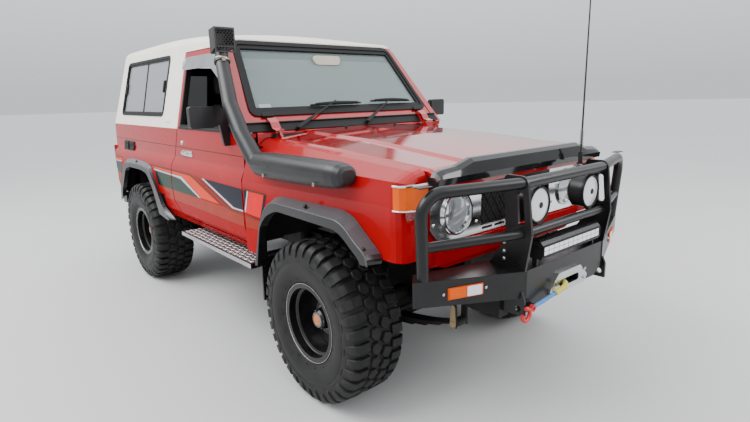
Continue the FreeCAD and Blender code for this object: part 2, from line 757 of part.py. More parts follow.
def body_side():
    """The left rear quarter with its sill and wheel arch, from the front of the door back."""
    wall = lower_wall(DOOR_THICKNESS, BODY_REAR_X, DOOR_FRONT_X + 8)
    wall = wall.cut(door_opening())
    wall = wall.cut(prism_xz(rear_arch_outline(), 400, OUTSIDE, [0, 40, 40, 80, 80, 60, 0]))
    behind = prism_xz([(BODY_REAR_X - 10, SILL_Z - 10), (BODY_REAR_X - 10, 720), (REAR_AXLE_X - 500, 700),
                       (REAR_AXLE_X - 500, SILL_Z - 10)], 400, OUTSIDE)
    edge = REAR_DOOR_HALF + DOOR_GAP
    post = box(BODY_REAR_X, BODY_REAR_X + 70, edge, edge + 66, 722, BELT_Z)
    return fused([wall.cut(behind), post] + [rear_hinge_lug(z) for z in REAR_HINGE_Z])


def body_sides():
    return both_sides(body_side())


def floor():
    """The flat floor, firewall, hinge posts and rear sill, and the boxes over the rear wheels."""
    half = SILL_HALF - DOOR_THICKNESS - 2
    top = FLOOR_Z + FLOOR_THICKNESS
    firewall_x = BONNET_REAR_X - 24
    slab_rear = BODY_REAR_X + REAR_DOOR_THICKNESS + DOOR_GAP
    x0, x1 = REAR_AXLE_X - WHEEL_BOX_REACH, REAR_AXLE_X + WHEEL_BOX_REACH
    skin = 14.0
    pieces = [
        box(slab_rear, firewall_x, -half, half, FLOOR_Z, top),
        box(firewall_x - 16, firewall_x, -FIREWALL_HALF, FIREWALL_HALF, top, BELT_Z - 12),
        box(BODY_REAR_X, slab_rear + 5, -half, half, FLOOR_Z - 45, REAR_DOOR_BOTTOM_Z - DOOR_GAP),
    ]
    hollows = []
    for side in (-1, 1):
        y0, y1 = sorted((side * (WHEEL_BOX_INNER - skin), side * half))
        pieces.append(box(x0 - skin, x1 + skin, y0, y1, FLOOR_Z, WHEEL_BOX_TOP + skin))
        y0, y1 = sorted((side * WHEEL_BOX_INNER, side * (half + 50)))
        hollows.append(box(x0, x1, y0, y1, FLOOR_Z - 5, WHEEL_BOX_TOP))
        y0, y1 = sorted((side * (POST_HALF - 162), side * (POST_HALF - FIT / 2)))
        pieces.append(box(firewall_x - 16, firewall_x + 40, y0, y1, FLOOR_Z, SHOULDER_TOP_Z + 30))
    shell = fused(pieces)
    for hollow in hollows:
        shell = shell.cut(hollow)
    return shell


# Roof, windscreen and glass

def roof_section(x, crown_z, shoulder_z, inset):
    """A closed roof section: upright gutters, rounded shoulders and a gently crowned top."""
    half = GUTTER_HALF - inset
    low = DOOR_TOP_Z
    top = crown_z - inset
    shoulder = shoulder_z - inset
    right, left = V(x, -half + 10, shoulder), V(x, half - 10, shoulder)
    crown = Part.BSplineCurve()
    rise = top - shoulder
    points = [right, V(x, -half + 34, shoulder + rise * 0.36), V(x, -half + 110, shoulder + rise * 0.62),
              V(x, 0, top), V(x, half - 110, shoulder + rise * 0.62),
              V(x, half - 34, shoulder + rise * 0.36), left]
    crown.interpolate(points)
    edges = [Part.LineSegment(V(x, half, low), V(x, -half, low)).toShape(),
             Part.LineSegment(V(x, -half, low), right).toShape(), crown.toShape(),
             Part.LineSegment(left, V(x, half, low)).toShape()]
    return Part.Wire(edges)


def roof_solid(inset, front_x, rear_x):
    front = roof_section(front_x, ROOF_FRONT_Z, 1893.0, inset)
    middle = roof_section(-1700.0, ROOF_CROWN_Z - 22, 1916.0, inset)
    behind = roof_section(-2400.0, ROOF_CROWN_Z, 1918.0, inset)
    rear = roof_section(rear_x, ROOF_CROWN_Z - 14, 1914.0, inset)
    return Part.makeLoft([front, middle, behind, rear], True, False)


def hard_top():
    """One moulded shell: the roof, the sides over the belt and the rear header."""
    front_x = screen_x(ROOF_FRONT_Z) + 34
    t = ROOF_THICKNESS
    cavity = roof_solid(t, front_x - 40, BODY_REAR_X + ROOF_REAR_SET + 60)
    roof = roof_solid(0, front_x, BODY_REAR_X).cut(cavity)
    side = upper_wall(FRAME_THICKNESS, BODY_REAR_X, DOOR_REAR_X + 300)
    side = side.cut(door_opening()).cut(prism_xz(quarter_outline(), 400, OUTSIDE, 22))
    post = upper_wall(FRAME_THICKNESS + 50, BODY_REAR_X, BODY_REAR_X + ROOF_REAR_SET + 20)
    shell = fused([roof, side, mirrored(side), post, mirrored(post)])
    top = ROOF_CROWN_Z + 20
    shell = shell.cut(prism_xz([(BODY_REAR_X, BELT_Z), (BODY_REAR_X + ROOF_REAR_SET, top),
                                (BODY_REAR_X - 50, top), (BODY_REAR_X - 50, BELT_Z)], -OUTSIDE, OUTSIDE))
    over_screen = box(screen_x(DOOR_TOP_Z) - SCREEN_FRAME_DEPTH - 45, -800, -OUTSIDE, OUTSIDE, DOOR_TOP_Z - 5,
                      SCREEN_TOP_Z + FIT / 2)
    rake = prism_xz([(screen_x(DOOR_TOP_Z) + 12, DOOR_TOP_Z), (screen_x(top) + 12, top), (-700, top),
                     (-700, DOOR_TOP_Z)], -OUTSIDE, OUTSIDE)
    return shell.cut(over_screen).cut(rake).cut(rear_opening())


def quarter_outline():
    return [(-2015.0, BELT_Z + 86), (-1985.0, DOOR_TOP_Z - 5), (-3030.0, DOOR_TOP_Z - 5),
            (-3085.0, BELT_Z + 86)]


def quarter_pane():
    pane = prism_yz([(BELT_HALF - 10, BELT_Z), (GUTTER_HALF - 10, DOOR_TOP_Z),
                     (GUTTER_HALF - 15, DOOR_TOP_Z), (BELT_HALF - 15, BELT_Z)], -3200, -1800)
    return pane.common(prism_xz(grown(quarter_outline(), -FIT / 2), 400, OUTSIDE, 22))


def rear_slab(depth, inset=0.0):
    """The rear doors' slab in side view: upright below the belt, leaning forward above it."""
    x = BODY_REAR_X + inset
    lean = ROOF_REAR_SET * (DOOR_TOP_Z - BELT_Z) / (ROOF_CROWN_Z + 20 - BELT_Z)
    return prism_xz([(x, REAR_DOOR_BOTTOM_Z), (x, BELT_Z), (x + lean, DOOR_TOP_Z),
                     (x + lean + depth, DOOR_TOP_Z), (x + depth, BELT_Z), (x + depth, REAR_DOOR_BOTTOM_Z)],
                    -OUTSIDE, OUTSIDE)


def rear_door_outline(y0, y1):
    """Both rear doors together, as (y, z); y0 and y1 are the edges at the belt."""
    taper = 100.0
    low, top = REAR_DOOR_BOTTOM_Z, DOOR_TOP_Z - 22
    return [(y0, low), (y1, low), (y1, BELT_Z), (y1 - (taper if y1 > 300 else 0), top),
            (y0 + (taper if y0 < -300 else 0), top), (y0, BELT_Z)]


REAR_DOOR_HALF = BELT_HALF - FRAME_THICKNESS - 50 - 10


def rear_opening():
    outline = rear_door_outline(-REAR_DOOR_HALF - DOOR_GAP, REAR_DOOR_HALF + DOOR_GAP)
    outline = [(y, z + (DOOR_GAP if z > BELT_Z else -DOOR_GAP if z < BELT_Z else 0)) for y, z in outline]
    return prism_yz(outline, BODY_REAR_X - 100, BODY_REAR_X + ROOF_REAR_SET + 90)


def rear_door(side):
    """side -1 is the wide right-hand door that carries the spare wheel."""
    split = REAR_DOOR_SPLIT_Y
    if side < 0:
        outline = rear_door_outline(-REAR_DOOR_HALF, split - DOOR_GAP / 2)
    else:
        outline = rear_door_outline(split + DOOR_GAP / 2, REAR_DOOR_HALF)
    door = rear_slab(REAR_DOOR_THICKNESS).common(prism_yz(outline, BODY_REAR_X - 50, BODY_REAR_X + 300))
    x, y = rear_hinge_place(side)
    reach = abs(y - split) - DOOR_GAP / 2
    swing = rod(V(x, y, REAR_DOOR_BOTTOM_Z - 1), V(x, y, DOOR_TOP_Z + 1), reach)
    door = door.common(swing)
    pieces = [door.cut(prism_yz(rear_window_outline(side), BODY_REAR_X - 50, BODY_REAR_X + 300, 24))]
    for z in REAR_HINGE_Z:
        pieces.append(rod(V(x, y, z - 36), V(x, y, z + 36), REAR_PIN_RADIUS))
        for low in (z - 36, z + 12.3):
            y0, y1 = sorted((side * (REAR_DOOR_HALF - 60), y))
            pieces.append(box(BODY_REAR_X - REAR_HINGE_OUT - 4, BODY_REAR_X + 1, y0, y1, low, low + 23.7))
    if side < 0:
        face = SPARE_REAR_X + TYRE_WIDTH / 2 + 14
        pieces.append(ring(V(face + FIT / 2, SPARE_Y, SPARE_Z), V(BODY_REAR_X, SPARE_Y, SPARE_Z), 82, 62))
    return fused(pieces)


def rear_hinge_place(side):
    return BODY_REAR_X - REAR_HINGE_OUT, side * (REAR_DOOR_HALF + DOOR_GAP / 2)


def rear_hinge_lug(z):
    """The fixed barrel of a left rear door hinge with its leaf on the corner post."""
    x, y = rear_hinge_place(1)
    leaf = box(BODY_REAR_X - REAR_HINGE_OUT - 4, BODY_REAR_X + 1, y, y + 60, z - 12, z + 12)
    barrel = rod(V(x, y, z - 12), V(x, y, z + 12), REAR_PIN_RADIUS + 4)
    return fused([leaf, barrel]).cut(rod(V(x, y, z - 13), V(x, y, z + 13), REAR_PIN_RADIUS + PIN_CLEARANCE))


def rear_window_outline(side):
    low, top = BELT_Z + 60, DOOR_TOP_Z - 75
    if side < 0:
        return [(-REAR_DOOR_HALF + 75, low), (REAR_DOOR_SPLIT_Y - 70, low), (REAR_DOOR_SPLIT_Y - 70, top),
                (-REAR_DOOR_HALF + 150, top)]
    return [(REAR_DOOR_SPLIT_Y + 70, low), (REAR_DOOR_HALF - 75, low), (REAR_DOOR_HALF - 150, top),
            (REAR_DOOR_SPLIT_Y + 70, top)]


def rear_glass(side):
    outline = rear_window_outline(side)
    return rear_slab(GLASS_THICKNESS, 20).common(prism_yz(outline, BODY_REAR_X - 50, BODY_REAR_X + 300, 24))


def screen_strip(depth, inset):
    """The leaning slab of the windscreen in side view."""
    base_z = SCREEN_BASE_Z - 4
    x0 = screen_x(base_z) - inset
    x1 = screen_x(SCREEN_TOP_Z) - inset
    return prism_xz([(x0, base_z), (x1, SCREEN_TOP_Z), (x1 - depth, SCREEN_TOP_Z), (x0 - depth, base_z)],
                    -OUTSIDE, OUTSIDE)


def body_envelope():
    outer = [(BELT_HALF, BELT_Z), (GUTTER_HALF, DOOR_TOP_Z), (GUTTER_HALF - 9, SCREEN_TOP_Z)]
    full = outer + [(-y, z) for y, z in reversed(outer)]
    return prism_yz(full, -1500, -500)


def screen_aperture():
    low, high = BELT_HALF - 108, GUTTER_HALF - 64
    low_z, top_z = SCREEN_BASE_Z + 94, SCREEN_TOP_Z - 22
    return prism_yz([(-low, low_z), (low, low_z), (high, top_z), (-high, top_z)], -1500, -400, 34)


def windscreen_frame():
    """The steel surround of the windscreen with both roof pillars, the cowl and bonnet hinge lugs."""
    surround = screen_strip(SCREEN_FRAME_DEPTH, 0).common(body_envelope()).cut(screen_aperture())
    top = DOOR_TOP_Z - 1
    low = BELT_Z + FIT
    pillar_cut = prism_xz([(pillar_front_x(low), low), (pillar_front_x(top), top),
                           (pillar_front_x(top) - 120, top), (pillar_front_x(low) - 120, low)], 400, OUTSIDE)
    pillar = upper_wall(FRAME_THICKNESS + 12, -1500, -500).common(pillar_cut).cut(door_opening())
    front = BONNET_REAR_X - BONNET_GAP - 18
    low = BELT_Z - 12 + FIT
    cowl = prism_xz([(front, low), (front, low + 10), (screen_x(SCREEN_BASE_Z), SCREEN_BASE_Z - 4),
                     (screen_x(SCREEN_BASE_Z) - SCREEN_FRAME_DEPTH, SCREEN_BASE_Z),
                     (screen_x(SCREEN_BASE_Z) - SCREEN_FRAME_DEPTH, low)], 85 - BELT_HALF, BELT_HALF - 85)
    wall = prism_yz([(FIREWALL_HALF + FIT, 1309), (FIREWALL_HALF + 24, 1309), (FIREWALL_HALF + 50, 1304),
                     (BELT_HALF - 85, 1271), (BELT_HALF - 85, low + 4), (FIREWALL_HALF + FIT, low + 4)],
                    front - 6, front)
    pieces = [surround, pillar, mirrored(pillar), cowl, wall, mirrored(wall)]
    for side in (-1, 1):
        y0, y1 = sorted((side * BONNET_HINGE_Y, side * (BONNET_HINGE_Y + HINGE_LUG)))
        lug = prism_xz([(screen_x(HINGE_Z - 16) - 5, HINGE_Z - 16), (HINGE_X + 9, HINGE_Z - 9),
                        (HINGE_X + 9, HINGE_Z + 9),
                        (screen_x(HINGE_Z + 16) - 5, HINGE_Z + 16)], y0, y1)
        pieces.append(lug.cut(rod(V(HINGE_X, y0 - 1, HINGE_Z), V(HINGE_X, y1 + 1, HINGE_Z),
                                  PIN_RADIUS + PIN_CLEARANCE)))
    return fused(pieces)


def windscreen():
    return screen_strip(GLASS_THICKNESS, 14).common(screen_aperture())


def body_glass():
    return Part.makeCompound([windscreen(), quarter_pane(), mirrored(quarter_pane())])


# Guards, nose and bonnet

def guard_sections(inset):
    """Cross sections of the left guard from the door to the headlamp, moved in by the inset."""
    s = inset
    low = SILL_Z + 5 if inset <= 0 else 500.0
    b = BODY_HALF
    rear = [(APRON_HALF + s, low), (b - s - 2, low), (b - s, SHOULDER_LOW_Z),
            (b - 44 - s, 1212 - s), (b - 162, 1300 - s), (b - 188, 1306 - s), (APRON_HALF + s, 1272 - s)]
    front = [(APRON_HALF + s, low), (b - 64 - s, low), (b - 64 - s, 1085),
             (b - 72 - s, 1188 - s), (b - 162, 1222 - s), (b - 212, 1232 - s), (APRON_HALF + s, 1196 - s)]
    return rear, front


def guard_stations(inset, rear_x, front_x):
    """The guard's sections from rear to front; the front corner turns in an arc and the top rolls down."""
    rear, front = guard_sections(inset)
    falls = (0.0, 0.0, 0.0, 0.25, 0.55, 0.65, 0.3)
    stations = [(rear_x, rear)]
    for back in (GUARD_CORNER, 0.58 * GUARD_CORNER, 0.25 * GUARD_CORNER, 0.07 * GUARD_CORNER, 0.0):
        share = 1 - back / (front_x - rear_x)
        turn = GUARD_CORNER - math.sqrt(GUARD_CORNER ** 2 - (GUARD_CORNER - back) ** 2)
        section = []
        for k, (near, far) in enumerate(zip(rear, front)):
            y = near[0] + (far[0] - near[0]) * share - (turn if 1 <= k <= 3 else 0)
            section.append((y, near[1] + (far[1] - near[1]) * share - turn * falls[k]))
        stations.append((front_x - back, section))
    return stations


def guard():
    """The left front guard as a pressed skin over the wheel, with its inner apron and hinges."""
    outer = loft_yz(guard_stations(0.0, GUARD_REAR_X, GUARD_FRONT_X))
    skin = outer.cut(loft_yz(guard_stations(GUARD_SKIN, GUARD_REAR_X + GUARD_SKIN, GUARD_FRONT_X - GUARD_SKIN)))
    skin = skin.cut(box(GUARD_REAR_X - 10, GUARD_FRONT_X + 10, 300, APRON_HALF + 60, 400, APRON_BOTTOM_Z))
    skin = skin.cut(prism_xz(front_arch_outline(), 300, OUTSIDE, [0, 30, 40, 50, 50, 40, 20, 0, 0]))
    skin = skin.cut(box(GUARD_REAR_X - 10, GUARD_REAR_X + 60, 300, POST_HALF, 400, 1264))
    skin = skin.cut(box(GUARD_REAR_X - 10, GUARD_REAR_X + 60, 300, BODY_HALF - 210, 400, 1400))
    skin = skin.cut(box(GUARD_FRONT_X - 60, GUARD_FRONT_X + 10, 300, BEZEL_HALF + FIT / 2, 400, 1400))
    skin = keep_largest(skin.cut(bonnet_recess()))
    for z in DOOR_HINGE_Z:
        lug = box(HINGE_AXIS_X - 2, GUARD_REAR_X + 1, DOOR_HINGE_Y - 7, DOOR_HINGE_Y, z - 10, z + 10)
        barrel = rod(V(HINGE_AXIS_X, DOOR_HINGE_Y, z - 10), V(HINGE_AXIS_X, DOOR_HINGE_Y, z + 10), 4.6)
        bore = rod(V(HINGE_AXIS_X, DOOR_HINGE_Y, z - 11), V(HINGE_AXIS_X, DOOR_HINGE_Y, z + 11),
                   DOOR_PIN_RADIUS + PIN_CLEARANCE)
        skin = skin.fuse(lug).fuse(barrel).cut(bore)
    return skin


def bonnet_recess():
    """The room for the bonnet and its gap in the guards' tops."""
    half_rear, half_front = bonnet_half(BONNET_REAR_X), bonnet_half(BONNET_FRONT_X)
    gap = BONNET_GAP
    flat = prism_xy([(-900, half_rear + gap), (BONNET_REAR_X, half_rear + gap),
                     (BONNET_FRONT_X, half_front + gap),
                     (900, half_front + gap), (900, 0), (-900, 0)], 1100, 1500)
    drop = 40.0
    under = loft_yz([(-900.0, [(300, 1100), (900, 1100), (900, 1330 - drop), (300, 1330 - drop)]),
                     (900.0, [(300, 1000), (900, 1000), (900, 1184 - drop), (300, 1184 - drop)])])
    return flat.cut(under)


def front_arch_outline():
    return [(-492.0, 400.0), (-440.0, 862.0), (-378.0, 948.0), (-292.0, 1004.0), (262.0, 1000.0),
            (360.0, 950.0),
            (470.0, 850.0), (900.0, 838.0), (900.0, 400.0)]


def bonnet_half(x):
    share = (x - BONNET_REAR_X) / (BONNET_FRONT_X - BONNET_REAR_X)
    return BODY_HALF - 200 - 24 * share


def bonnet_section(x, edge_z, crease_z, centre_z, drop):
    half = bonnet_half(x)
    top = [(half, edge_z - 12), (half - 16, edge_z), (420, crease_z - 14), (396, crease_z), (0, centre_z)]
    top_full = top + [(-y, z) for y, z in reversed(top[:-1])]
    return top_full + [(y * 0.995, z - drop) for y, z in reversed(top_full)]


def bonnet():
    """A pressed panel with a raised middle between two long creases, and its hinge brackets."""
    t = BONNET_THICKNESS
    sections = [
        (BONNET_REAR_X, bonnet_section(BONNET_REAR_X, 1306, 1334, 1344, t)),
        (0.0, bonnet_section(0.0, 1277, 1306, 1316, t)),
        (600.0, bonnet_section(600.0, 1232, 1250, 1260, t)),
        (BONNET_FRONT_X, bonnet_section(BONNET_FRONT_X, 1206, 1222, 1232, t)),
    ]
    skin = loft_yz(sections)
    nose = prism_xz([(BONNET_FRONT_X - 24, 1150), (BONNET_FRONT_X, 1150), (BONNET_FRONT_X, 1206),
                     (BONNET_FRONT_X - 24, 1206)], 18 - BEZEL_HALF, BEZEL_HALF - 18)
    pieces = [skin, nose]
    for side in (-1, 1):
        y0, y1 = sorted((side * (BONNET_HINGE_Y - 16), side * (BONNET_HINGE_Y - FIT / 2)))
        pieces.append(prism_xz([(BONNET_REAR_X + 40, 1288), (BONNET_REAR_X + 40, 1312),
                                (BONNET_REAR_X - 4, 1352),
                                (HINGE_X + 11, HINGE_Z + 9), (HINGE_X - 9, HINGE_Z + 9),
                                (HINGE_X - 9, HINGE_Z - 6),
                                (HINGE_X + 28, 1362), (BONNET_REAR_X - 8, 1330), (BONNET_REAR_X + 4, 1288)],
                               y0, y1))
        pin_end = side * (BONNET_HINGE_Y + HINGE_LUG)
        pieces.append(rod(V(HINGE_X, side * (BONNET_HINGE_Y - 4), HINGE_Z), V(HINGE_X, pin_end, HINGE_Z),
                          PIN_RADIUS))
    return fused(pieces)


def bonnet_protector():
    """A dark moulded shield along the bonnet's leading edge, lower at its corners, and its clips."""
    front = BONNET_FRONT_X
    outer, inner = [], []
    reach = BEZEL_HALF + 34
    for y, top in ((-reach, 1204.0), (10 - reach, 1224.0), (46 - reach, 1232.0), (130 - reach, 1239.0),
                   (226 - reach, 1266.0), (reach - 226, 1266.0), (reach - 130, 1239.0), (reach - 46, 1232.0),
                   (reach - 10, 1224.0), (reach, 1204.0)):
        outer.append((y, [(front - 26, top), (front - 4, top), (front + 16, top - 16), (front + 24, 1199.0),
                          (front + 20, 1172.0), (front - 26, 1172.0)]))
        inner.append((y, [(front - 40, top - 5), (front - 6, top - 5), (front + 11, top - 18),
                          (front + 19, 1198.0),
                          (front + 15, 1160.0), (front - 40, 1160.0)]))
    shield = loft_xz(outer).cut(loft_xz(inner))
    clips = []
    for y in (170 - reach, 0, reach - 170):
        clips.append(box(front + FIT / 2, front + 18, y - 14, y + 14, 1178, 1196))
    return fused([shield] + clips)


def nose_panel():
    """The panel that carries the grille and headlamps, with the valance below."""
    half = BEZEL_HALF - 6
    x0, x1 = 540.0, BEZEL_X - 22
    sheet = prism_yz([(-half, 812), (-half + 110, 770), (half - 110, 770), (half, 812), (half, 1140),
                      (-half, 1140)],
                     x1 - 12, x1)
    valance = prism_xz([(x1 - 40, 770), (x1 + 24, 800), (x1 + 34, 890), (x1, 896), (x1 - 40, 896)],
                       -half + 40, half - 40)
    openings = box(x0, x1 + 1, -GRILLE_HALF + 10, GRILLE_HALF - 10, 915, 1120)
    panel = fused([sheet, valance]).cut(openings)
    for side in (-1, 1):
        panel = panel.cut(rod(V(x0, side * LAMP_HALF_SPACING, LAMP_Z),
                              V(x1 + 1, side * LAMP_HALF_SPACING, LAMP_Z),
                              LAMP_RADIUS - 8))
    return panel


def front_panels():
    return Part.makeCompound([guard(), mirrored(guard()), nose_panel()])


def grille():
    """A bright surround with round lamp openings and a sunk mesh between them."""
    back = BEZEL_X - 22
    face = prism_yz([(-BEZEL_HALF, BEZEL_BOTTOM_Z + 70), (-BEZEL_HALF + 60, BEZEL_BOTTOM_Z),
                     (BEZEL_HALF - 60, BEZEL_BOTTOM_Z), (BEZEL_HALF, BEZEL_BOTTOM_Z + 70),
                     (BEZEL_HALF, BEZEL_TOP_Z), (-BEZEL_HALF, BEZEL_TOP_Z)], back, BEZEL_X, 12)
    opening = prism_yz([(-GRILLE_HALF, BEZEL_BOTTOM_Z + 34), (GRILLE_HALF, BEZEL_BOTTOM_Z + 34),
                        (GRILLE_HALF, BEZEL_TOP_Z - 14), (-GRILLE_HALF, BEZEL_TOP_Z - 14)], back - 1,
                       BEZEL_X + 1, 10)
    face = face.cut(opening)
    for side in (-1, 1):
        y = side * LAMP_HALF_SPACING
        face = face.cut(rod(V(back - 1, y, LAMP_Z), V(BEZEL_X + 1, y, LAMP_Z), LAMP_RADIUS + 6))
        face = face.fuse(ring(V(back, y, LAMP_Z), V(BEZEL_X + 5, y, LAMP_Z), LAMP_RADIUS + 14,
                              LAMP_RADIUS + 6))
    slot = GRILLE_HALF / 6
    for k in range(-5, 6, 2):
        face = face.cut(box(back - 1, BEZEL_X + 1, k * slot - slot + 7, k * slot + slot - 7,
                            BEZEL_BOTTOM_Z + 12, BEZEL_BOTTOM_Z + 23))
    return fused([face] + mesh_bars(back))


def mesh_bars(back):
    """Crossing slanted bars that fill the grille's opening with diamonds."""
    low, high = BEZEL_BOTTOM_Z + 30, BEZEL_TOP_Z - 10
    reach = GRILLE_HALF + 4
    frame_box = box(back, back + 8, -reach, reach, low, high)
    lean = (high - low) * MESH_SLOPE
    bars = []
    count = math.ceil((reach * 2 + lean) / MESH_PITCH)
    for k in range(count + 1):
        y = -reach + k * MESH_PITCH
        for side in (-1, 1):
            bar = prism_yz([(side * (y - 2.5), low), (side * (y + 2.5), low), (side * (y + 2.5 - lean), high),
                            (side * (y - 2.5 - lean), high)], back + (1 if side < 0 else 3),
                           back + (5 if side < 0 else 7))
            bars.append(bar.common(frame_box))
    return [bar for bar in bars if bar.Volume > 1]


def headlamp(side):
    """A round sealed lamp with a slightly domed lens in a shallow bowl."""
    y = side * LAMP_HALF_SPACING
    back = BEZEL_X - 20
    can = rod(V(back - 45, y, LAMP_Z), V(back, y, LAMP_Z), LAMP_RADIUS - 12)
    rim_part = rod(V(BEZEL_X - 22 + FIT / 2, y, LAMP_Z), V(BEZEL_X - 4, y, LAMP_Z), LAMP_RADIUS)
    dome = Part.makeSphere(330.0, V(BEZEL_X - 4 - 318, y, LAMP_Z)).common(
        rod(V(BEZEL_X - 5, y, LAMP_Z), V(BEZEL_X + 20, y, LAMP_Z), LAMP_RADIUS))
    return fused([can, rim_part, dome])


def headlamps():
    return Part.makeCompound([headlamp(1), headlamp(-1)])


def indicator_lamps():
    """Wrap-round lamps on the guards' front corners and a lamp in each bumper wing."""
    pieces = []
    x = GUARD_FRONT_X + FIT
    b = BODY_HALF
    corner = prism_xy([(x, b - 202), (x, b - 125), (x - 3, b - 101), (x - 14, b - 81), (x - 34, b - 64),
                       (x - 36, b - 55), (x - 8, b - 62), (x + 12, b - 82), (x + 22, b - 112),
                       (x + 22, b - 202)], 1075, 1172)
    pieces += [corner, mirrored(corner)]
    wing = wing_lamp()
    pieces += [wing, mirrored(wing)]
    return Part.makeCompound(pieces)


def wing_face_x(y):
    """The swept front face of the bumper's wing at a half width."""
    share = (y - PANEL_HALF) / (WING_HALF - PANEL_HALF)
    return PANEL_X - share * (PANEL_X - WING_FRONT_X)


def wing_lamp():
    y0, y1 = 548.0, 700.0
    lift = 7.0
    return prism_xy([(wing_face_x(y0) + FIT, y0), (wing_face_x(y1) + FIT, y1), (wing_face_x(y1) + lift, y1),
                     (wing_face_x(y0) + lift, y0)], 726, 774)


# Front bar with its winch

def wing_top_z(y):
    return PANEL_TOP_Z + (WING_TOP_Z - PANEL_TOP_Z) * (y - PANEL_HALF) / (WING_HALF - PANEL_HALF)


def bumper():
    """Folded steel wings either side of an upright winch panel, open below and behind."""
    pieces = []
    for side in (-1, 1):
        sections_out = []
        sections_in = []
        for y in (PANEL_HALF - 10, WING_HALF):
            top = wing_top_z(y)
            low = WING_BOTTOM_Z - (WING_HALF - y) * 0.09
            face = wing_face_x(y)
            back = 640.0 if y == WING_HALF else 690.0
            sections_out.append((side * y, [(back, low), (face, low), (face, top), (back, top)]))
            inner_y = y - PLATE if y == WING_HALF else y - 1
            sections_in.append((side * inner_y, [(back - 5, low - 20), (face - PLATE - 2, low - 20),
                                                 (face - PLATE - 2, top - PLATE), (back - 5, top - PLATE)]))
        wing = loft_xz(sections_out).cut(loft_xz(sections_in))
        tip = prism_xy([(WING_FRONT_X - 3, side * WING_HALF), (600, side * (WING_HALF - WING_FRONT_X + 603)),
                        (600, side * (WING_HALF + 5)), (WING_FRONT_X - 3, side * (WING_HALF + 5))], 500, 900)
        pieces.append(wing.cut(tip))
    panel = prism_yz([(-PANEL_HALF, PANEL_BOTTOM_Z + 48), (-PANEL_HALF + 80, PANEL_BOTTOM_Z),
                      (PANEL_HALF - 80, PANEL_BOTTOM_Z), (PANEL_HALF, PANEL_BOTTOM_Z + 48),
                      (PANEL_HALF, PANEL_TOP_Z), (-PANEL_HALF, PANEL_TOP_Z)], PANEL_X - PLATE, PANEL_X)
    slot = fairlead_slot(PANEL_X - PLATE - 1, PANEL_X + 1)
    shelf = box(700, PANEL_X, -PANEL_HALF, PANEL_HALF, PANEL_TOP_Z - PLATE, PANEL_TOP_Z)
    tray = box(690, PANEL_X - PLATE, -PANEL_HALF + 40, PANEL_HALF - 40, 640, 640 + PLATE)
    pieces += [panel.cut(slot), shelf, tray]
    for side in (-1, 1):
        y0, y1 = sorted((side * (RAIL_OUTER_HALF - RAIL_WIDTH - 12),
                         side * (RAIL_OUTER_HALF - RAIL_WIDTH - FIT / 2)))
        pieces.append(prism_xz([(620, 575), (PANEL_X - PLATE, 640), (PANEL_X - PLATE, PANEL_TOP_Z - PLATE),
                                (700, PANEL_TOP_Z - PLATE), (620, 675)], y0, y1))
        y2, y3 = sorted((side * 352, side * 366))
        pieces.append(prism_xz([(FRAME_FRONT_X + 2, 590), (PANEL_X + 14, 590), (PANEL_X + 14, 665),
                                (PANEL_X - 2, 700), (FRAME_FRONT_X + 2, 700)], y2, y3).cut(
            rod(V(TOW_EYE_X, side * 300, TOW_EYE_Z), V(TOW_EYE_X, side * 400, TOW_EYE_Z), TOW_EYE_RADIUS)))
    return fused(pieces)


def fairlead_slot(x0, x1):
    return prism_yz([(-85, 652), (85, 652), (85, 688), (-85, 688)], x0, x1, 16)


def bull_bar():
    """Bent tube hoops over the wings with two upright plates in the middle."""
    r = BAR_TUBE_RADIUS
    centre_x = BAR_FRONT_X - 30 - r
    top = HOOP_TOP_Z
    foot = V(HOOP_X - 14, -HOOP_HALF + 30, PANEL_TOP_Z)
    path = [foot, V(HOOP_X, -HOOP_HALF, top), V(centre_x, -UPRIGHT_HALF, top),
            V(centre_x, UPRIGHT_HALF, top), V(HOOP_X, HOOP_HALF, top), V(foot.x, -foot.y, foot.z)]
    wing = prism_yz([(0, 700), (WING_HALF, 700), (WING_HALF, wing_top_z(WING_HALF) + FIT),
                     (0, wing_top_z(0) + FIT)],
                    600, PANEL_X)
    top_tube = bent_tube(path, r, 95).cut(wing).cut(mirrored(wing))
    mid_x = centre_x + 8
    mid = bent_tube([V(HOOP_X - 8, -HOOP_HALF + 18, MID_TUBE_Z), V(mid_x, -UPRIGHT_HALF, MID_TUBE_Z),
                     V(mid_x, UPRIGHT_HALF, MID_TUBE_Z), V(HOOP_X - 8, HOOP_HALF - 18, MID_TUBE_Z)], r - 4,
                    120)
    pieces = [top_tube, mid]
    for side in (-1, 1):
        y0, y1 = sorted((side * UPRIGHT_HALF, side * (UPRIGHT_HALF + UPRIGHT_THICKNESS)))
        low = PANEL_TOP_Z + 0.7
        plate = prism_xz([(BAR_FRONT_X - UPRIGHT_DEPTH, low), (PANEL_X + 2, low),
                          (BAR_FRONT_X, MID_TUBE_Z), (BAR_FRONT_X - 30, top + r + 6),
                          (BAR_FRONT_X - 24 - UPRIGHT_DEPTH, top + r + 6)], y0, y1, [0, 0, 0, 36, 20])
        window = prism_xz([(858, 990), (892, 990), (876, 1126), (848, 1126)], y0 - 1, y1 + 1, 12)
        pieces.append(plate.cut(window))
        gusset = prism_xz([(716, low), (850, low), (860, 930), (806, 930)], y0, y1)
        pieces.append(gusset)
    return fused(pieces)


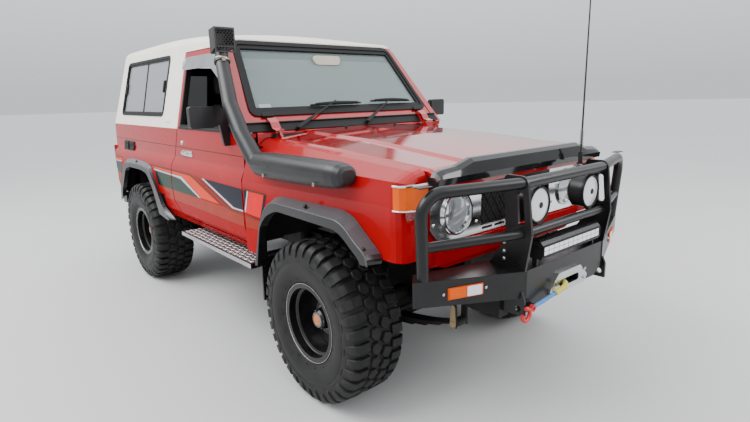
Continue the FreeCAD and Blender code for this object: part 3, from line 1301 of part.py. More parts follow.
def winch():
    """The winch's drum and motor behind the panel, and the hawse fairlead on its face."""
    end = RAIL_OUTER_HALF - RAIL_WIDTH - 12 - FIT / 2
    drum = rod(V(DRUM_X, -end, DRUM_Z), V(DRUM_X, end, DRUM_Z), DRUM_RADIUS)
    for y0, y1 in ((-end, -130.0), (130.0, end)):
        drum = drum.fuse(rod(V(DRUM_X, y0, DRUM_Z), V(DRUM_X, y1, DRUM_Z), DRUM_RADIUS + 9))
    fair = prism_yz([(-150, 625), (150, 625), (165, 660), (95, 722), (-95, 722), (-165, 660)],
                    PANEL_X + FIT / 2, PANEL_X + FAIRLEAD_THICKNESS, 14)
    fair = fair.cut(fairlead_slot(PANEL_X - 1, BAR_FRONT_X + 1))
    return Part.makeCompound([drum, fair])


ROPE_RADIUS = 9.0
ROPE_POINTS = [V(796, -22, 657.6), V(858, -26, 664), V(918, -36, 668), V(940, -88, 664), V(939, -145, 655),
               V(934, -200, 646), V(929, -252, 635), V(922, -300, 626)]


def winch_rope():
    """A short stretch of synthetic rope from the fairlead to the hook."""
    edges = []
    last = ROPE_POINTS[0]
    for i in range(1, len(ROPE_POINTS) - 1):
        corner = ROPE_POINTS[i]
        back = ROPE_POINTS[i - 1] - corner
        ahead = ROPE_POINTS[i + 1] - corner
        reach = 0.45 * min(back.Length, ahead.Length)
        before, after = back.normalize(), ahead.normalize()
        half = before.getAngle(after) / 2
        radius = reach * math.tan(half)
        bisector = (before + after).normalize()
        centre = corner + bisector * (radius / math.sin(half))
        edges.append(Part.LineSegment(last, corner + before * reach).toShape())
        edges.append(Part.Arc(corner + before * reach, centre - bisector * radius,
                              corner + after * reach).toShape())
        last = corner + after * reach
    edges.append(Part.LineSegment(last, ROPE_POINTS[-1]).toShape())
    path = Part.Wire(edges)
    section = Part.Wire([Part.Circle(ROPE_POINTS[0], ROPE_POINTS[1] - ROPE_POINTS[0], ROPE_RADIUS).toShape()])
    return path.makePipeShell([section], True, False)


def winch_hook():
    """A forged hook on the rope's eye, hanging at the recovery bracket."""
    start = ROPE_POINTS[-1]
    eye = ring(V(start.x - 9, start.y - 16, start.z - 3), V(start.x + 9, start.y - 16, start.z - 3), 15, 7)
    centre = V(start.x, start.y - 62, start.z - 22)
    bow = Part.makeTorus(27, 9, centre, V(1, 0, 0))
    mouth = box(-30, 30, -60, 4, 0, 60)
    mouth.translate(centre + V(0, -8, 6))
    shank = rod(V(start.x, start.y - 27, start.z - 5), V(start.x, start.y - 48, start.z - 8), 8)
    return fused([eye, shank, bow.cut(mouth)])


def driving_lamps():
    """Two round spot lamps and a light bar between the bull bar's plates."""
    pieces = []
    for side in (-1, 1):
        y = side * SPOT_HALF_SPACING
        z = SPOT_Z
        r = SPOT_RADIUS
        shell = rod(V(SPOT_FRONT_X - 68, y, z), V(SPOT_FRONT_X, y, z), r)
        back = Part.makeSphere(r * 1.28, V(SPOT_FRONT_X - 5, y, z)).common(
            rod(V(SPOT_FRONT_X - 120, y, z), V(SPOT_FRONT_X - 67, y, z), r))
        foot = box(SPOT_FRONT_X - 20, SPOT_FRONT_X + 6, y - 12, y + 12,
                   MID_TUBE_Z + BAR_TUBE_RADIUS - 4 + FIT / 2, z - r + 6)
        pieces.append(fused([shell, back, foot]))
    bar = prism_xz([(858, 822), (912, 822), (920, 832), (920, 886), (908, 900), (858, 900)], -252, 252)
    legs = [box(868, 892, y - 4, y + 4, PANEL_TOP_Z + FIT, 824) for y in (-246, 246)]
    pieces.append(fused([bar] + legs))
    return Part.makeCompound(pieces)


# Outside fittings

DUCT_RADIUS = 52.0
NECK_RADIUS = 38.0
POD_SECTIONS = [
    (-472.0, 30.0, 50.0, 1156.0, 1232.0, 30.0),
    (-440.0, 48.0, 68.0, 1128.0, 1250.0, 46.0),
    (-300.0, 53.0, 74.0, 1118.0, 1256.0, 52.0),
    (20.0, 53.0, 76.0, 1126.0, 1256.0, 52.0),
    (235.0, 51.0, 78.0, 1135.0, 1254.0, 50.0),
    (285.0, 45.0, 76.0, 1141.0, 1249.0, 46.0),
    (312.0, 33.0, 70.0, 1152.0, 1238.0, 38.0),
    (324.0, 14.0, 58.0, 1168.0, 1222.0, 24.0),
]


def snorkel():
    """A moulded duct along the guard and up the roof pillar to a forward-facing head."""
    b = BODY_HALF
    sections = []
    for x, out, within, low, high, corner in POD_SECTIONS:
        points = [V(x, -b - out, low), V(x, within - b, low), V(x, within - b, high), V(x, -b - out, high)]
        sections.append(round_wire(points, corner))
    body = Part.makeLoft(sections, True, True)
    path = bent_path([V(-250, -b - 2, 1192), V(-455, -b - 2, 1192), V(-600, -b - 10, 1345),
                      V(-735, 2 - b, 1500),
                      V(-925, 62 - b, 1752)], 70)
    thick = Part.Wire([Part.Circle(V(-250, -b - 2, 1192), V(-1, 0, 0), DUCT_RADIUS).toShape()])
    rise = V(-190, 60, 252)
    thin = Part.Wire([Part.Circle(V(-925, 62 - b, 1752), rise, NECK_RADIUS + 1).toShape()])
    duct = path.makePipeShell([thick, thin], True, False)
    head_y = 82 - b
    neck = rod(V(-925, 62 - b, 1745), V(-962, head_y, 1850), NECK_RADIUS)
    clamp = rod(V(-920, 60 - b, 1742), V(-929, 63 - b, 1758), 46)
    head = loft_yz([(-905.0, rectangle(head_y - 64, head_y + 64, 1832, 1946)),
                    (-1010.0, rectangle(head_y - 51, head_y + 42, 1800, 1938)),
                    (-1040.0, rectangle(head_y - 36, head_y + 29, 1830, 1915))])
    throat = loft_yz([(-904.0, rectangle(head_y - 54, head_y + 54, 1842, 1936)),
                      (-962.0, rectangle(head_y - 36, head_y + 29, 1856, 1915))])
    solid = fused([body, duct, neck, clamp, head]).cut(throat)
    rear, front = guard_sections(-FIT / 2)
    beside = mirrored(loft_yz([(GUARD_REAR_X, rear), (GUARD_FRONT_X + 60, front)]))
    return keep_largest(solid.cut(beside))


def rectangle(a0, a1, b0, b1):
    return [(a0, b0), (a1, b0), (a1, b1), (a0, b1)]


def antenna():
    """A whip on a bracket behind the left upright plate of the bull bar."""
    x, y = 748.0, UPRIGHT_HALF + UPRIGHT_THICKNESS / 2
    z = HOOP_TOP_Z + 4
    share = (z + 5 - PANEL_TOP_Z) / (HOOP_TOP_Z + BAR_TUBE_RADIUS + 6 - PANEL_TOP_Z)
    plate_back = BAR_FRONT_X - UPRIGHT_DEPTH - 24 * share
    bracket = box(x - 14, plate_back - FIT / 2, y - 14, y + 14, z, z + 5)
    tab = box(plate_back - 6, plate_back - FIT / 2, y - 14, y + 14, z - 30, z + 5)
    base = rod(V(x, y, z + 5), V(x, y, z + 62), 11)
    whip = Part.makeCone(5, 2.5, ANTENNA_TOP_Z - z - 62, V(x, y, z + 62), V(0, 0, 1))
    return fused([bracket, tab, base, whip])


def side_step(side):
    """A chequer-plate board on two brackets from the rail."""
    y0, y1 = sorted((side * (STEP_HALF - 155), side * STEP_HALF))
    near, far = (y0, y1) if side > 0 else (y1, y0)
    board = prism_xy([(-1575, near), (-545, near), (-530, far), (-1590, far)], 580, 610)
    pieces = [board]
    for x in (-760.0, -1380.0):
        ya, yb = sorted((side * (RAIL_OUTER_HALF + FIT), side * (STEP_HALF - 100)))
        pieces.append(box(x - 25, x + 25, ya, yb, 560, 580))
    return fused(pieces)


def side_steps():
    return Part.makeCompound([side_step(1), side_step(-1)])


def softened(points):
    """The outline with each corner replaced by three points on a curve."""
    result = []
    for i, (a, b) in enumerate(points):
        c, d = points[i - 1]
        e, f = points[(i + 1) % len(points)]
        before = min(32 / math.hypot(c - a, d - b), 0.4)
        after = min(32 / math.hypot(e - a, f - b), 0.4)
        start = (a + (c - a) * before, b + (d - b) * before)
        end = (a + (e - a) * after, b + (f - b) * after)
        result += [start, ((start[0] + 2 * a + end[0]) / 4, (start[1] + 2 * b + end[1]) / 4), end]
    return result


def flare(outside, lip, wheel_side, foot_y, body_y):
    """A moulded flare: a shelf from the body out to its lip, with a turned-down edge around the wheel."""
    shape = loft_xz([(foot_y, softened(outside)), (body_y, softened(outside)), (FLARE_HALF, softened(lip))])
    return shape.cut(prism_xz(softened(wheel_side), 300, OUTSIDE))


def front_flare():
    within = [(430.0, 840.0), (300.0, 930.0), (-250.0, 930.0), (-440.0, 606.0)]
    outside = [(-505.0, 606.0), (-455.0, 860.0), (-414.0, 971.0), (-336.0, 1040.0), (-250.0, 1048.0),
               (251.0, 1036.0),
               (320.0, 1010.0), (401.0, 942.0), (486.0, 876.0), (496.0, 827.0)]
    lip = [(-502.0, 606.0), (-425.0, 850.0), (-362.0, 950.0), (-312.0, 990.0), (-255.0, 1007.0),
           (285.0, 1003.0),
           (340.0, 984.0), (416.0, 926.0), (484.0, 886.0), (494.0, 838.0)]
    wheel_side = [(-484.0, 500.0), (-480.0, 610.0), (-420.0, 850.0), (-340.0, 925.0), (-235.0, 964.0),
                  (270.0, 958.0),
                  (322.0, 940.0), (452.0, 850.0), (460.0, 780.0), (460.0, 500.0)]
    shape = flare(outside + within, lip + within, wheel_side, BODY_HALF - 152, BODY_HALF - 52)
    rear, front = guard_sections(0.0)
    body = loft_yz([(GUARD_REAR_X, rear), (GUARD_FRONT_X + 60, front)])
    return keep_largest(shape.cut(body))


def keep_largest(shape):
    return sorted(shape.Solids, key=lambda solid: solid.Volume)[-1]


def rear_flare():
    x = REAR_AXLE_X
    within = [(x - 480, 680.0), (x - 300, 940.0), (x + 250, 940.0), (x + 480, 660.0)]
    outside = [(x + 790, 640.0), (x + 570, 724.0), (x + 458, 831.0), (x + 336, 1008.0), (x + 263, 1033.0),
               (x + 127, 1045.0), (x - 143, 1045.0), (x - 330, 1030.0), (x - 430, 975.0), (x - 550, 760.0),
               (x - 585, 620.0)]
    lip = [(x + 700, 632.0), (x + 560, 745.0), (x + 466, 864.0), (x + 330, 996.0), (x + 262, 1008.0),
           (x + 130, 1014.0), (x - 140, 1014.0), (x - 315, 996.0), (x - 400, 945.0), (x - 520, 755.0),
           (x - 560, 620.0)]
    wheel_side = [(x + 520, 500.0), (x + 515, 640.0), (x + 400, 850.0), (x + 290, 958.0), (x + 157, 976.0),
                  (x - 160, 974.0), (x - 290, 950.0), (x - 480, 730.0), (x - 520, 600.0), (x - 520, 500.0)]
    shape = flare(outside + within, lip + within, wheel_side, BODY_HALF + FIT, BODY_HALF + 1)
    return keep_largest(shape)


def mud_flap():
    """A rubber flap that hangs from the guard's lower edge behind the front wheel."""
    return box(-512, -500, BODY_HALF - 240, BODY_HALF - 6, 385, SILL_Z + 5 - FIT / 2)


def wheel_flares():
    pieces = []
    for piece in (front_flare(), rear_flare(), mud_flap()):
        pieces += [piece, mirrored(piece)]
    return Part.makeCompound(pieces)


def mirror(side):
    """A door mirror on a cranked arm."""
    b = BODY_HALF
    head = prism_yz([(b + 56, 1372), (MIRROR_HALF, 1372), (MIRROR_HALF, 1496), (b + 56, 1496)], -868, -828,
                    16)
    arm = box(-852, -836, b - 40, b + 60, 1386, 1482)
    leg = prism_yz([(b - 52, 1334), (b - 20, 1392), (b + 28, 1392), (b + 6, 1262), (b - 52, 1262)], -856,
                   -834)
    solid = fused([head, arm, leg])
    clear = lower_wall(DOOR_THICKNESS + 20, -1900, -600).fuse(upper_wall(FRAME_THICKNESS + 20, -1900, -600))
    solid = solid.cut(clear)
    solid = keep_largest(solid)
    return solid if side > 0 else mirrored(solid)


def tail_lamps():
    y0, y1 = REAR_DOOR_HALF + DOOR_GAP + 20, BODY_HALF - 6
    lamp = box(BODY_REAR_X - 26, BODY_REAR_X - FIT / 2, y0, y1, 905, 1130)
    return both_sides(lamp)


def rear_bar():
    """A rear step bumper with a tow hitch receiver."""
    beam = prism_xz([(BODY_REAR_X - 120, 560), (BODY_REAR_X - 10, 560), (BODY_REAR_X - 10, 668),
                     (BODY_REAR_X - 120, 668)], -SILL_HALF, SILL_HALF, 14)
    pieces = [beam]
    for side in (-1, 1):
        y0, y1 = sorted((side * (RAIL_OUTER_HALF - RAIL_WIDTH), side * RAIL_OUTER_HALF))
        pieces.append(box(BODY_REAR_X - 12, FRAME_REAR_X - FIT / 2, y0, y1, 575, 650))
    pieces.append(box(BODY_REAR_X - 135, BODY_REAR_X - 40, -42, 42, 478, 562))
    bar = fused(pieces)
    bar = bar.cut(box(BODY_REAR_X - 140, BODY_REAR_X - 50, -RECEIVER_HALF, RECEIVER_HALF,
                      RECEIVER_Z - RECEIVER_HALF, RECEIVER_Z + RECEIVER_HALF))
    x = BODY_REAR_X - HITCH_PIN_REACH
    return bar.cut(rod(V(x, -60, RECEIVER_Z), V(x, 60, RECEIVER_Z), HITCH_PIN_RADIUS))


# Cabin

def seat(y, x, width):
    """A bucket seat: cushion, back and head restraint on a plinth."""
    half = width / 2
    top = FLOOR_Z + FLOOR_THICKNESS
    plinth = box(x - 180, x + 200, y - half + 60, y + half - 60, top + FIT, 960)
    cushion = prism_xz([(x - 230, 960), (x + 265, 960), (x + 275, 1075), (x - 230, 1050)], y - half,
                       y + half, 25)
    back = prism_xz([(x - 235, 1010), (x - 130, 1030), (x - 230, 1530), (x - 325, 1520)], y - half + 10,
                    y + half - 10, 25)
    post = box(x - 290, x - 270, y - 40, y + 40, 1500, 1580)
    rest = prism_xz([(x - 320, 1560), (x - 235, 1560), (x - 240, 1725), (x - 325, 1720)], y - 120, y + 120,
                    25)
    return fused([plinth, cushion, back, post, rest])


def seats():
    front_right = seat(-370.0, -1480.0, 490.0)
    front_left = seat(370.0, -1480.0, 490.0)
    x = -2480.0
    top = FLOOR_Z + FLOOR_THICKNESS
    bench = fused([
        box(x - 150, x + 160, -470, 470, top + FIT, 930),
        prism_xz([(x - 200, 930), (x + 230, 930), (x + 240, 1030), (x - 200, 1010)], -500, 500, 25),
        prism_xz([(x - 210, 980), (x - 110, 1000), (x - 200, 1450), (x - 290, 1440)], -500, 500, 25),
    ])
    return Part.makeCompound([front_right, front_left, bench])


def dashboard():
    """A padded dash across the cabin with a hooded instrument binnacle."""
    x = BONNET_REAR_X - 24 - 16 - FIT
    top = BELT_Z - 14
    pad = prism_xz([(x, 1060), (x, top), (x - 190, top), (x - 250, 1240), (x - 200, 1080)], 95 - BELT_HALF,
                   BELT_HALF - 95, 20)
    hood = prism_xz([(x - 60, top - 2), (x - 200, top + 55), (x - 250, top + 40), (x - 245, 1230)], -540,
                    -220, 10)
    axis = steering_axis()
    column = rod(STEER_WHEEL_CENTRE - axis * (STEER_BOSS + FIT / 2), STEER_WHEEL_CENTRE - axis * 250, 30)
    return fused([pad, hood, column])


STEER_WHEEL_CENTRE = V(-1035.0, -380.0, 1262.0)
STEER_WHEEL_TILT = 28.0
STEER_BOSS = 70.0


def steering_axis():
    """The direction from the column towards the driver."""
    tilt = math.radians(STEER_WHEEL_TILT)
    return V(-math.cos(tilt), 0, math.sin(tilt))


def steering_wheel():
    """A three-spoke wheel on a short column end."""
    tilt = math.radians(STEER_WHEEL_TILT)
    axis = steering_axis()
    up = V(math.sin(tilt), 0, math.cos(tilt))
    side = V(0, 1, 0)
    centre = STEER_WHEEL_CENTRE
    rim_ring = Part.makeTorus(190, 14, centre, axis)
    boss = rod(centre - axis * STEER_BOSS, centre + axis * 4, 46)
    pieces = [rim_ring, boss]
    for direction in (side, side * -1, up * -1):
        pieces.append(rod(centre - axis * 24, centre + direction * 186, 11))
    return fused(pieces)


NODES = {
    "frame": frame,
    "axle_front": front_axle,
    "axle_rear": rear_axle,
    "suspension": suspension,
    "drivetrain": drivetrain,
    "fuel_tank": fuel_tank,
    "exhaust": exhaust,
    "knuckle_right": lambda: knuckle(-1),
    "knuckle_left": lambda: knuckle(1),
    "tie_rod": tie_rod,
    "floor": floor,
    "body_sides": body_sides,
    "front_panels": front_panels,
    "windscreen_frame": windscreen_frame,
    "body_glass": body_glass,
    "hard_top": hard_top,
    "bonnet": bonnet,
    "bonnet_protector": bonnet_protector,
    "door_left": side_door,
    "door_right": lambda: mirrored(side_door()),
    "door_glass_left": door_glass,
    "mirror_left": lambda: mirror(1),
    "mirror_right": lambda: mirror(-1),
    "rear_door_right": lambda: rear_door(-1),
    "rear_door_left": lambda: rear_door(1),
    "rear_glass_right": lambda: rear_glass(-1),
    "rear_glass_left": lambda: rear_glass(1),
    "spare_tyre": spare_tyre,
    "spare_rim": spare_rim,
    "grille": grille,
    "headlamps": headlamps,
    "indicator_lamps": indicator_lamps,
    "driving_lamps": driving_lamps,
    "tail_lamps": tail_lamps,
    "bumper": bumper,
    "bull_bar": bull_bar,
    "winch": winch,
    "winch_rope": winch_rope,
    "winch_hook": winch_hook,
    "snorkel": snorkel,
    "antenna": antenna,
    "side_steps": side_steps,
    "wheel_flares": wheel_flares,
    "rear_bar": rear_bar,
    "seats": seats,
    "dashboard": dashboard,
    "steering_wheel": steering_wheel,
}


def main():
    os.makedirs("parts", exist_ok=True)
    shapes = {name: make() for name, make in NODES.items()}
    plain_tyre = tyre()
    for corner, (centre, out) in hand_wheel_places().items():
        shapes["tyre_" + corner] = moved(plain_tyre, centre)
        shapes["rim_" + corner] = rim(centre, out, True)
    for name, shape in shapes.items():
        shape.translate(V(ORIGIN_SHIFT, 0, 0))
        bounds = shape.BoundBox
        print(f"{name:18s} solids {len(shape.Solids)} valid {shape.isValid()} "
              f"x {bounds.XMin:.0f} {bounds.XMax:.0f} y {bounds.YMin:.0f} {bounds.YMax:.0f} "
              f"z {bounds.ZMin:.0f} {bounds.ZMax:.0f}")
        shape.exportStep("parts/" + name + ".step")


main()
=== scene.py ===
import math

import bmesh
import bpy
from mathutils import Matrix, Vector

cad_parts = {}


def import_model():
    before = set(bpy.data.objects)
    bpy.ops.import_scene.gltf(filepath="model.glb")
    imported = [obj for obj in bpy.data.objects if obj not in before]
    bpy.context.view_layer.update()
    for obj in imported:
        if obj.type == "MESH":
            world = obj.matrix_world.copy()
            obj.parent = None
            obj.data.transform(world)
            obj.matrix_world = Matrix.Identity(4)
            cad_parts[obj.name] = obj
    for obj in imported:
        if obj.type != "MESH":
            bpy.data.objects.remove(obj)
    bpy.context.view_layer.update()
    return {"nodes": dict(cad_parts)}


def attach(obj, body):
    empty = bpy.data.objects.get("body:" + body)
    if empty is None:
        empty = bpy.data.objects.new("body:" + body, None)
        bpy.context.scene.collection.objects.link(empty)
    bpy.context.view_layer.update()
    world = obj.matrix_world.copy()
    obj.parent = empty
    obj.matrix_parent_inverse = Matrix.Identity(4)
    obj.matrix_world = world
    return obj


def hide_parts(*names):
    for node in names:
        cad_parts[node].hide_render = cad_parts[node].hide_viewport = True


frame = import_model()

# The camera stands where the photograph was taken: low at the front right
# corner, close to the bull bar and looking back along the side.
FRONT_AXLE = 1.3595


def at(x, y, z):
    """A place given from the front axle, in the row frame."""
    return Vector((x + FRONT_AXLE, y, z))


camera_yaw, camera_pitch, camera_roll = 2.438, -0.219, -0.023
look = Vector((math.cos(camera_pitch) * math.cos(camera_yaw),
               math.cos(camera_pitch) * math.sin(camera_yaw),
               math.sin(camera_pitch)))
level = look.cross(Vector((0, 0, 1))).normalized()
upright = level.cross(look)
tilted = level * math.cos(camera_roll) + upright * math.sin(camera_roll)
upper = upright * math.cos(camera_roll) - level * math.sin(camera_roll)
camera_data = bpy.data.cameras.new("photo_camera")
camera_data.sensor_width = 36
camera_data.lens = 24.775
camera = bpy.data.objects.new("photo_camera", camera_data)
camera_turn = Matrix((tilted, upper, -look)).transposed().to_4x4()
camera.matrix_world = Matrix.Translation(at(2.076, -2.174, 1.531)) @ camera_turn
bpy.context.scene.collection.objects.link(camera)
bpy.context.scene.camera = camera


# The winch rope: blue braided synthetic rope, pulled out through the fairlead
# and hooked back by its eye, with a yellow sleeve where it rubs on the alloy.
def node(material, kind, values=None, **settings):
    """Adds a shader node, with its sockets set or linked, and returns it."""
    added = material.node_tree.nodes.new("ShaderNode" + kind)
    for key, value in settings.items():
        setattr(added, key, value)
    for socket, value in (values or {}).items():
        if isinstance(value, bpy.types.NodeSocket):
            material.node_tree.links.new(value, added.inputs[socket])
        else:
            added.inputs[socket].default_value = value
    return added


def blank(name, metal=0.0, coat=0.0, coat_rough=0.05, ior=1.5):
    """A new material and its shader, with the steady values set."""
    material = bpy.data.materials.new(name)
    material.use_nodes = True
    shader = material.node_tree.nodes["Principled BSDF"]
    shader.inputs["Metallic"].default_value = metal
    shader.inputs["Coat Weight"].default_value = coat
    shader.inputs["Coat Roughness"].default_value = coat_rough
    shader.inputs["IOR"].default_value = ior
    return material, shader


def link(material, output, shader, socket):
    """Joins a socket to an input of the shader."""
    material.node_tree.links.new(output, shader.inputs[socket])


def blend_tones(material, share, first, second):
    """The colour between two tones or sockets, by a share from 0 to 1."""
    mix = node(material, "Mix", {0: share, 6: first, 7: second}, data_type="RGBA")
    return mix.outputs[2]


def spread(material, value, low, high, to_low, to_high):
    """A value read from one range into another, held at the ends."""
    return node(material, "MapRange", {0: value, 1: low, 2: high, 3: to_low, 4: to_high}).outputs[0]


def noise(material, place, size, detail, roughness=0.5):
    """A soft random pattern, as a value from 0 to 1."""
    values = {"Vector": place, "Scale": size, "Detail": detail, "Roughness": roughness}
    return node(material, "TexNoise", values).outputs["Fac"]


def emboss(material, shader, height, strength, distance):
    """Makes a pattern stand out of the surface."""
    rise = node(material, "Bump", {"Height": height, "Strength": strength, "Distance": distance})
    link(material, rise.outputs[0], shader, "Normal")


DUST = (0.16, 0.125, 0.095, 1)


def finish(name, tone, second, rough, metal=0.0, patch=7.0, grain=0.0, grain_size=500.0, coat=0.0, dust=0.0,
           ior=1.45, recolour=None):
    """Two near tones in soft patches, gloss that varies with them, a fine grain, road dust low down and, where
    asked, a change of colour by a given function: a plain second colour on the hidden side of the panels, or a
    painted highlight on faces turned up."""
    material, shader = blank(name, metal, coat, ior=ior)
    place = node(material, "TexCoord").outputs["Object"]
    patches = noise(material, place, patch, 6.0, 0.6)
    share = spread(material, patches, 0.3, 0.7, 0.0, 1.0)
    colour = blend_tones(material, share, (*tone, 1), (*second, 1))
    gloss = spread(material, patches, 0.25, 0.75, rough[0], rough[1])
    if recolour:
        colour, gloss = recolour(material, place, colour, gloss)
    if dust:
        height = node(material, "SeparateXYZ", {0: place}).outputs["Z"]
        low = spread(material, height, 0.9, 0.1, 0.0, dust)
        film = spread(material, noise(material, place, 22.0, 8.0, 0.7), 0.4, 0.8, 0.0, 1.0)
        dusty = node(material, "Math", {0: low, 1: film}, operation="MULTIPLY").outputs[0]
        colour = blend_tones(material, dusty, colour, DUST)
        gloss = node(material, "Math", {0: gloss, 1: dusty}, operation="ADD", use_clamp=True).outputs[0]
    link(material, colour, shader, "Base Color")
    link(material, gloss, shader, "Roughness")
    if grain:
        emboss(material, shader, noise(material, place, grain_size, 3.0), grain, 0.0006)
    return material


def paint(material, *names):
    """Gives CAD nodes their finish."""
    for name in names:
        for place in frame["nodes"][name].material_slots:
            place.material = material


def braid(name, tone, second, turns, lengths):
    """A braided surface: two sets of strands that cross, laid out by the piece's own length and girth."""
    material, shader = blank(name)
    flat = node(material, "TexCoord").outputs["UV"]
    axes = node(material, "SeparateXYZ", {0: flat})
    along = node(material, "Math", {0: axes.outputs["X"], 1: lengths}, operation="MULTIPLY").outputs[0]
    around = node(material, "Math", {0: axes.outputs["Y"], 1: turns}, operation="MULTIPLY").outputs[0]
    waves = []
    for sense in (1.0, -1.0):
        turned = node(material, "Math", {0: around, 1: sense, 2: along}, operation="MULTIPLY_ADD").outputs[0]
        angle = node(material, "Math", {0: turned, 1: 2 * math.pi}, operation="MULTIPLY").outputs[0]
        waves.append(node(material, "Math", {0: angle}, operation="SINE").outputs[0])
    crossing = node(material, "Math", {0: waves[0], 1: waves[1]}, operation="MULTIPLY").outputs[0]
    share = spread(material, crossing, -1.0, 1.0, 0.0, 1.0)
    link(material, blend_tones(material, share, (*tone, 1), (*second, 1)), shader, "Base Color")
    fibre = noise(material, flat, 260.0, 4.0)
    link(material, spread(material, fibre, 0.3, 0.7, 0.45, 0.75), shader, "Roughness")
    emboss(material, shader, crossing, 0.7, 0.002)
    shader.inputs["Sheen Weight"].default_value = 0.2
    return material


def curve_piece(name, kind, points, radius, closed=False, thickness=4):
    """A round bar along the points, as a curve, linked to the scene."""
    data = bpy.data.curves.new(name, "CURVE")
    data.dimensions = "3D"
    line = data.splines.new(kind)
    line.points.add(len(points) - 1)
    for point, place in zip(line.points, points):
        point.co = (*place, 1.0)
    line.use_cyclic_u = closed
    data.bevel_depth = radius
    data.bevel_resolution = thickness
    data.use_fill_caps = not closed
    piece = bpy.data.objects.new(name, data)
    bpy.context.scene.collection.objects.link(piece)
    return piece


rope_points = [(0.796, -0.022, 0.6576), (0.858, -0.026, 0.664), (0.918, -0.036, 0.668),
               (0.940, -0.088, 0.664), (0.939, -0.145, 0.655), (0.934, -0.200, 0.646),
               (0.929, -0.252, 0.635), (0.922, -0.300, 0.626)]
rope = curve_piece("winch_rope_blue", "NURBS", [at(*place) for place in rope_points], 0.0, thickness=5)
rope_line = rope.data.splines[0]
rope_line.order_u = 3
rope_line.use_endpoint_u = True
rope_line.resolution_u = 12
rope_trace = bpy.data.meshes.new_from_object(rope)
rope_run = [vertex.co.copy() for vertex in rope_trace.vertices]
rope_length = sum((b - a).length for a, b in zip(rope_run, rope_run[1:]))
rope.data.bevel_depth = 0.0088
rope.data.materials.append(braid("rope_braid_blue", (0.012, 0.12, 0.42), (0.05, 0.30, 0.66), 5.0, 26.0))
sleeve_run = [place for place in rope_run if at(0.9, 0, 0).x < place.x and place.y > -0.165]
sleeve = curve_piece("rope_sleeve", "POLY", sleeve_run, 0.0125)
sleeve.data.materials.append(braid("sleeve_weave_yellow", (0.55, 0.45, 0.01), (0.85, 0.74, 0.05), 9.0, 34.0))
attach(sleeve, "vehicle")
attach(rope, "vehicle")
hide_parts("winch_rope")
hook_red = finish("hook_enamel_red", (0.42, 0.006, 0.010), (0.52, 0.02, 0.02), (0.22, 0.45), grain=0.15,
                  dust=0.2)
paint(hook_red, "winch_hook")

# The chassis: pressed ladder frame, beam axles and leaf springs in black
# chassis paint, dulled and dusted by the road, with a steel exhaust.
chassis_black = finish("chassis_paint", (0.006, 0.006, 0.0065), (0.014, 0.013, 0.012), (0.45, 0.75),
                       grain=0.3, dust=0.25, ior=1.3)
paint(chassis_black, "frame", "axle_front", "axle_rear", "suspension", "knuckle_right", "knuckle_left",
      "tie_rod")
paint(finish("cast_iron_grey", (0.06, 0.06, 0.06), (0.10, 0.095, 0.09), (0.45, 0.7), metal=0.6, grain=0.5,
             dust=0.5), "drivetrain")
paint(finish("tank_paint", (0.012, 0.012, 0.013), (0.026, 0.024, 0.021), (0.4, 0.7), grain=0.25, dust=0.6),
      "fuel_tank")
paint(finish("exhaust_steel", (0.22, 0.19, 0.16), (0.32, 0.29, 0.25), (0.3, 0.6), metal=0.9, grain=0.3,
             dust=0.5), "exhaust")


# The tyres: moulded rubber mud tyres on the CAD tyres' own size, with broad
# shoulder lugs, two rows of six-sided blocks and ribs down the side walls.
def make(name, form, material, body="vehicle", slot=None, smooth=32.0):
    """The finished piece of a form: doubles merged, faces turned out, soft up to an angle, on a body."""
    bmesh.ops.remove_doubles(form, verts=form.verts, dist=0.00002)
    bmesh.ops.recalc_face_normals(form, faces=form.faces)
    mesh = bpy.data.meshes.new(name)
    form.to_mesh(mesh)
    form.free()
    mesh.shade_smooth()
    mesh.set_sharp_from_angle(angle=math.radians(smooth))
    mesh.materials.append(material)
    piece = bpy.data.objects.new(name, mesh)
    bpy.context.scene.collection.objects.link(piece)
    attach(piece, body)
    return piece


POLE = 0.0001


def lathe(form, profile, centre, axis, steps=48):
    """Turns a profile of (along, radius) pairs right round an axis; a closed end stops at the pole radius."""
    axis = Vector(axis).normalized()
    across = axis.orthogonal().normalized()
    line = [form.verts.new(centre + axis * along + across * radius) for along, radius in profile]
    edges = [form.edges.new(pair) for pair in zip(line, line[1:])]
    bmesh.ops.spin(form, geom=line + edges, cent=centre, axis=axis, dvec=(0, 0, 0), angle=2 * math.pi,
                   steps=steps, use_merge=True, use_normal_flip=False, use_duplicate=False)


def edges_of(faces):
    """Each edge of the faces once, always in the same order."""
    return list(dict.fromkeys(edge for face in faces for edge in face.edges))


def block(form, low_ring, high_ring, bevel=0.0, segments=1):
    """A solid between two outlines with as many points, its edges eased."""
    first = [form.verts.new(place) for place in low_ring]
    second = [form.verts.new(place) for place in high_ring]
    faces = [form.faces.new(first), form.faces.new(list(reversed(second)))]
    for i in range(len(first)):
        faces.append(form.faces.new((first[i - 1], first[i], second[i], second[i - 1])))
    if bevel:
        edges = edges_of(faces)
        bmesh.ops.bevel(form, geom=edges, offset=bevel, offset_type="OFFSET", affect="EDGES",
                        segments=segments, profile=0.5, material=-1)


TYRE_RADIUS = 0.419
WHEEL_Y = 0.740
REAR_AXLE = -2.6
PITCHES = 36


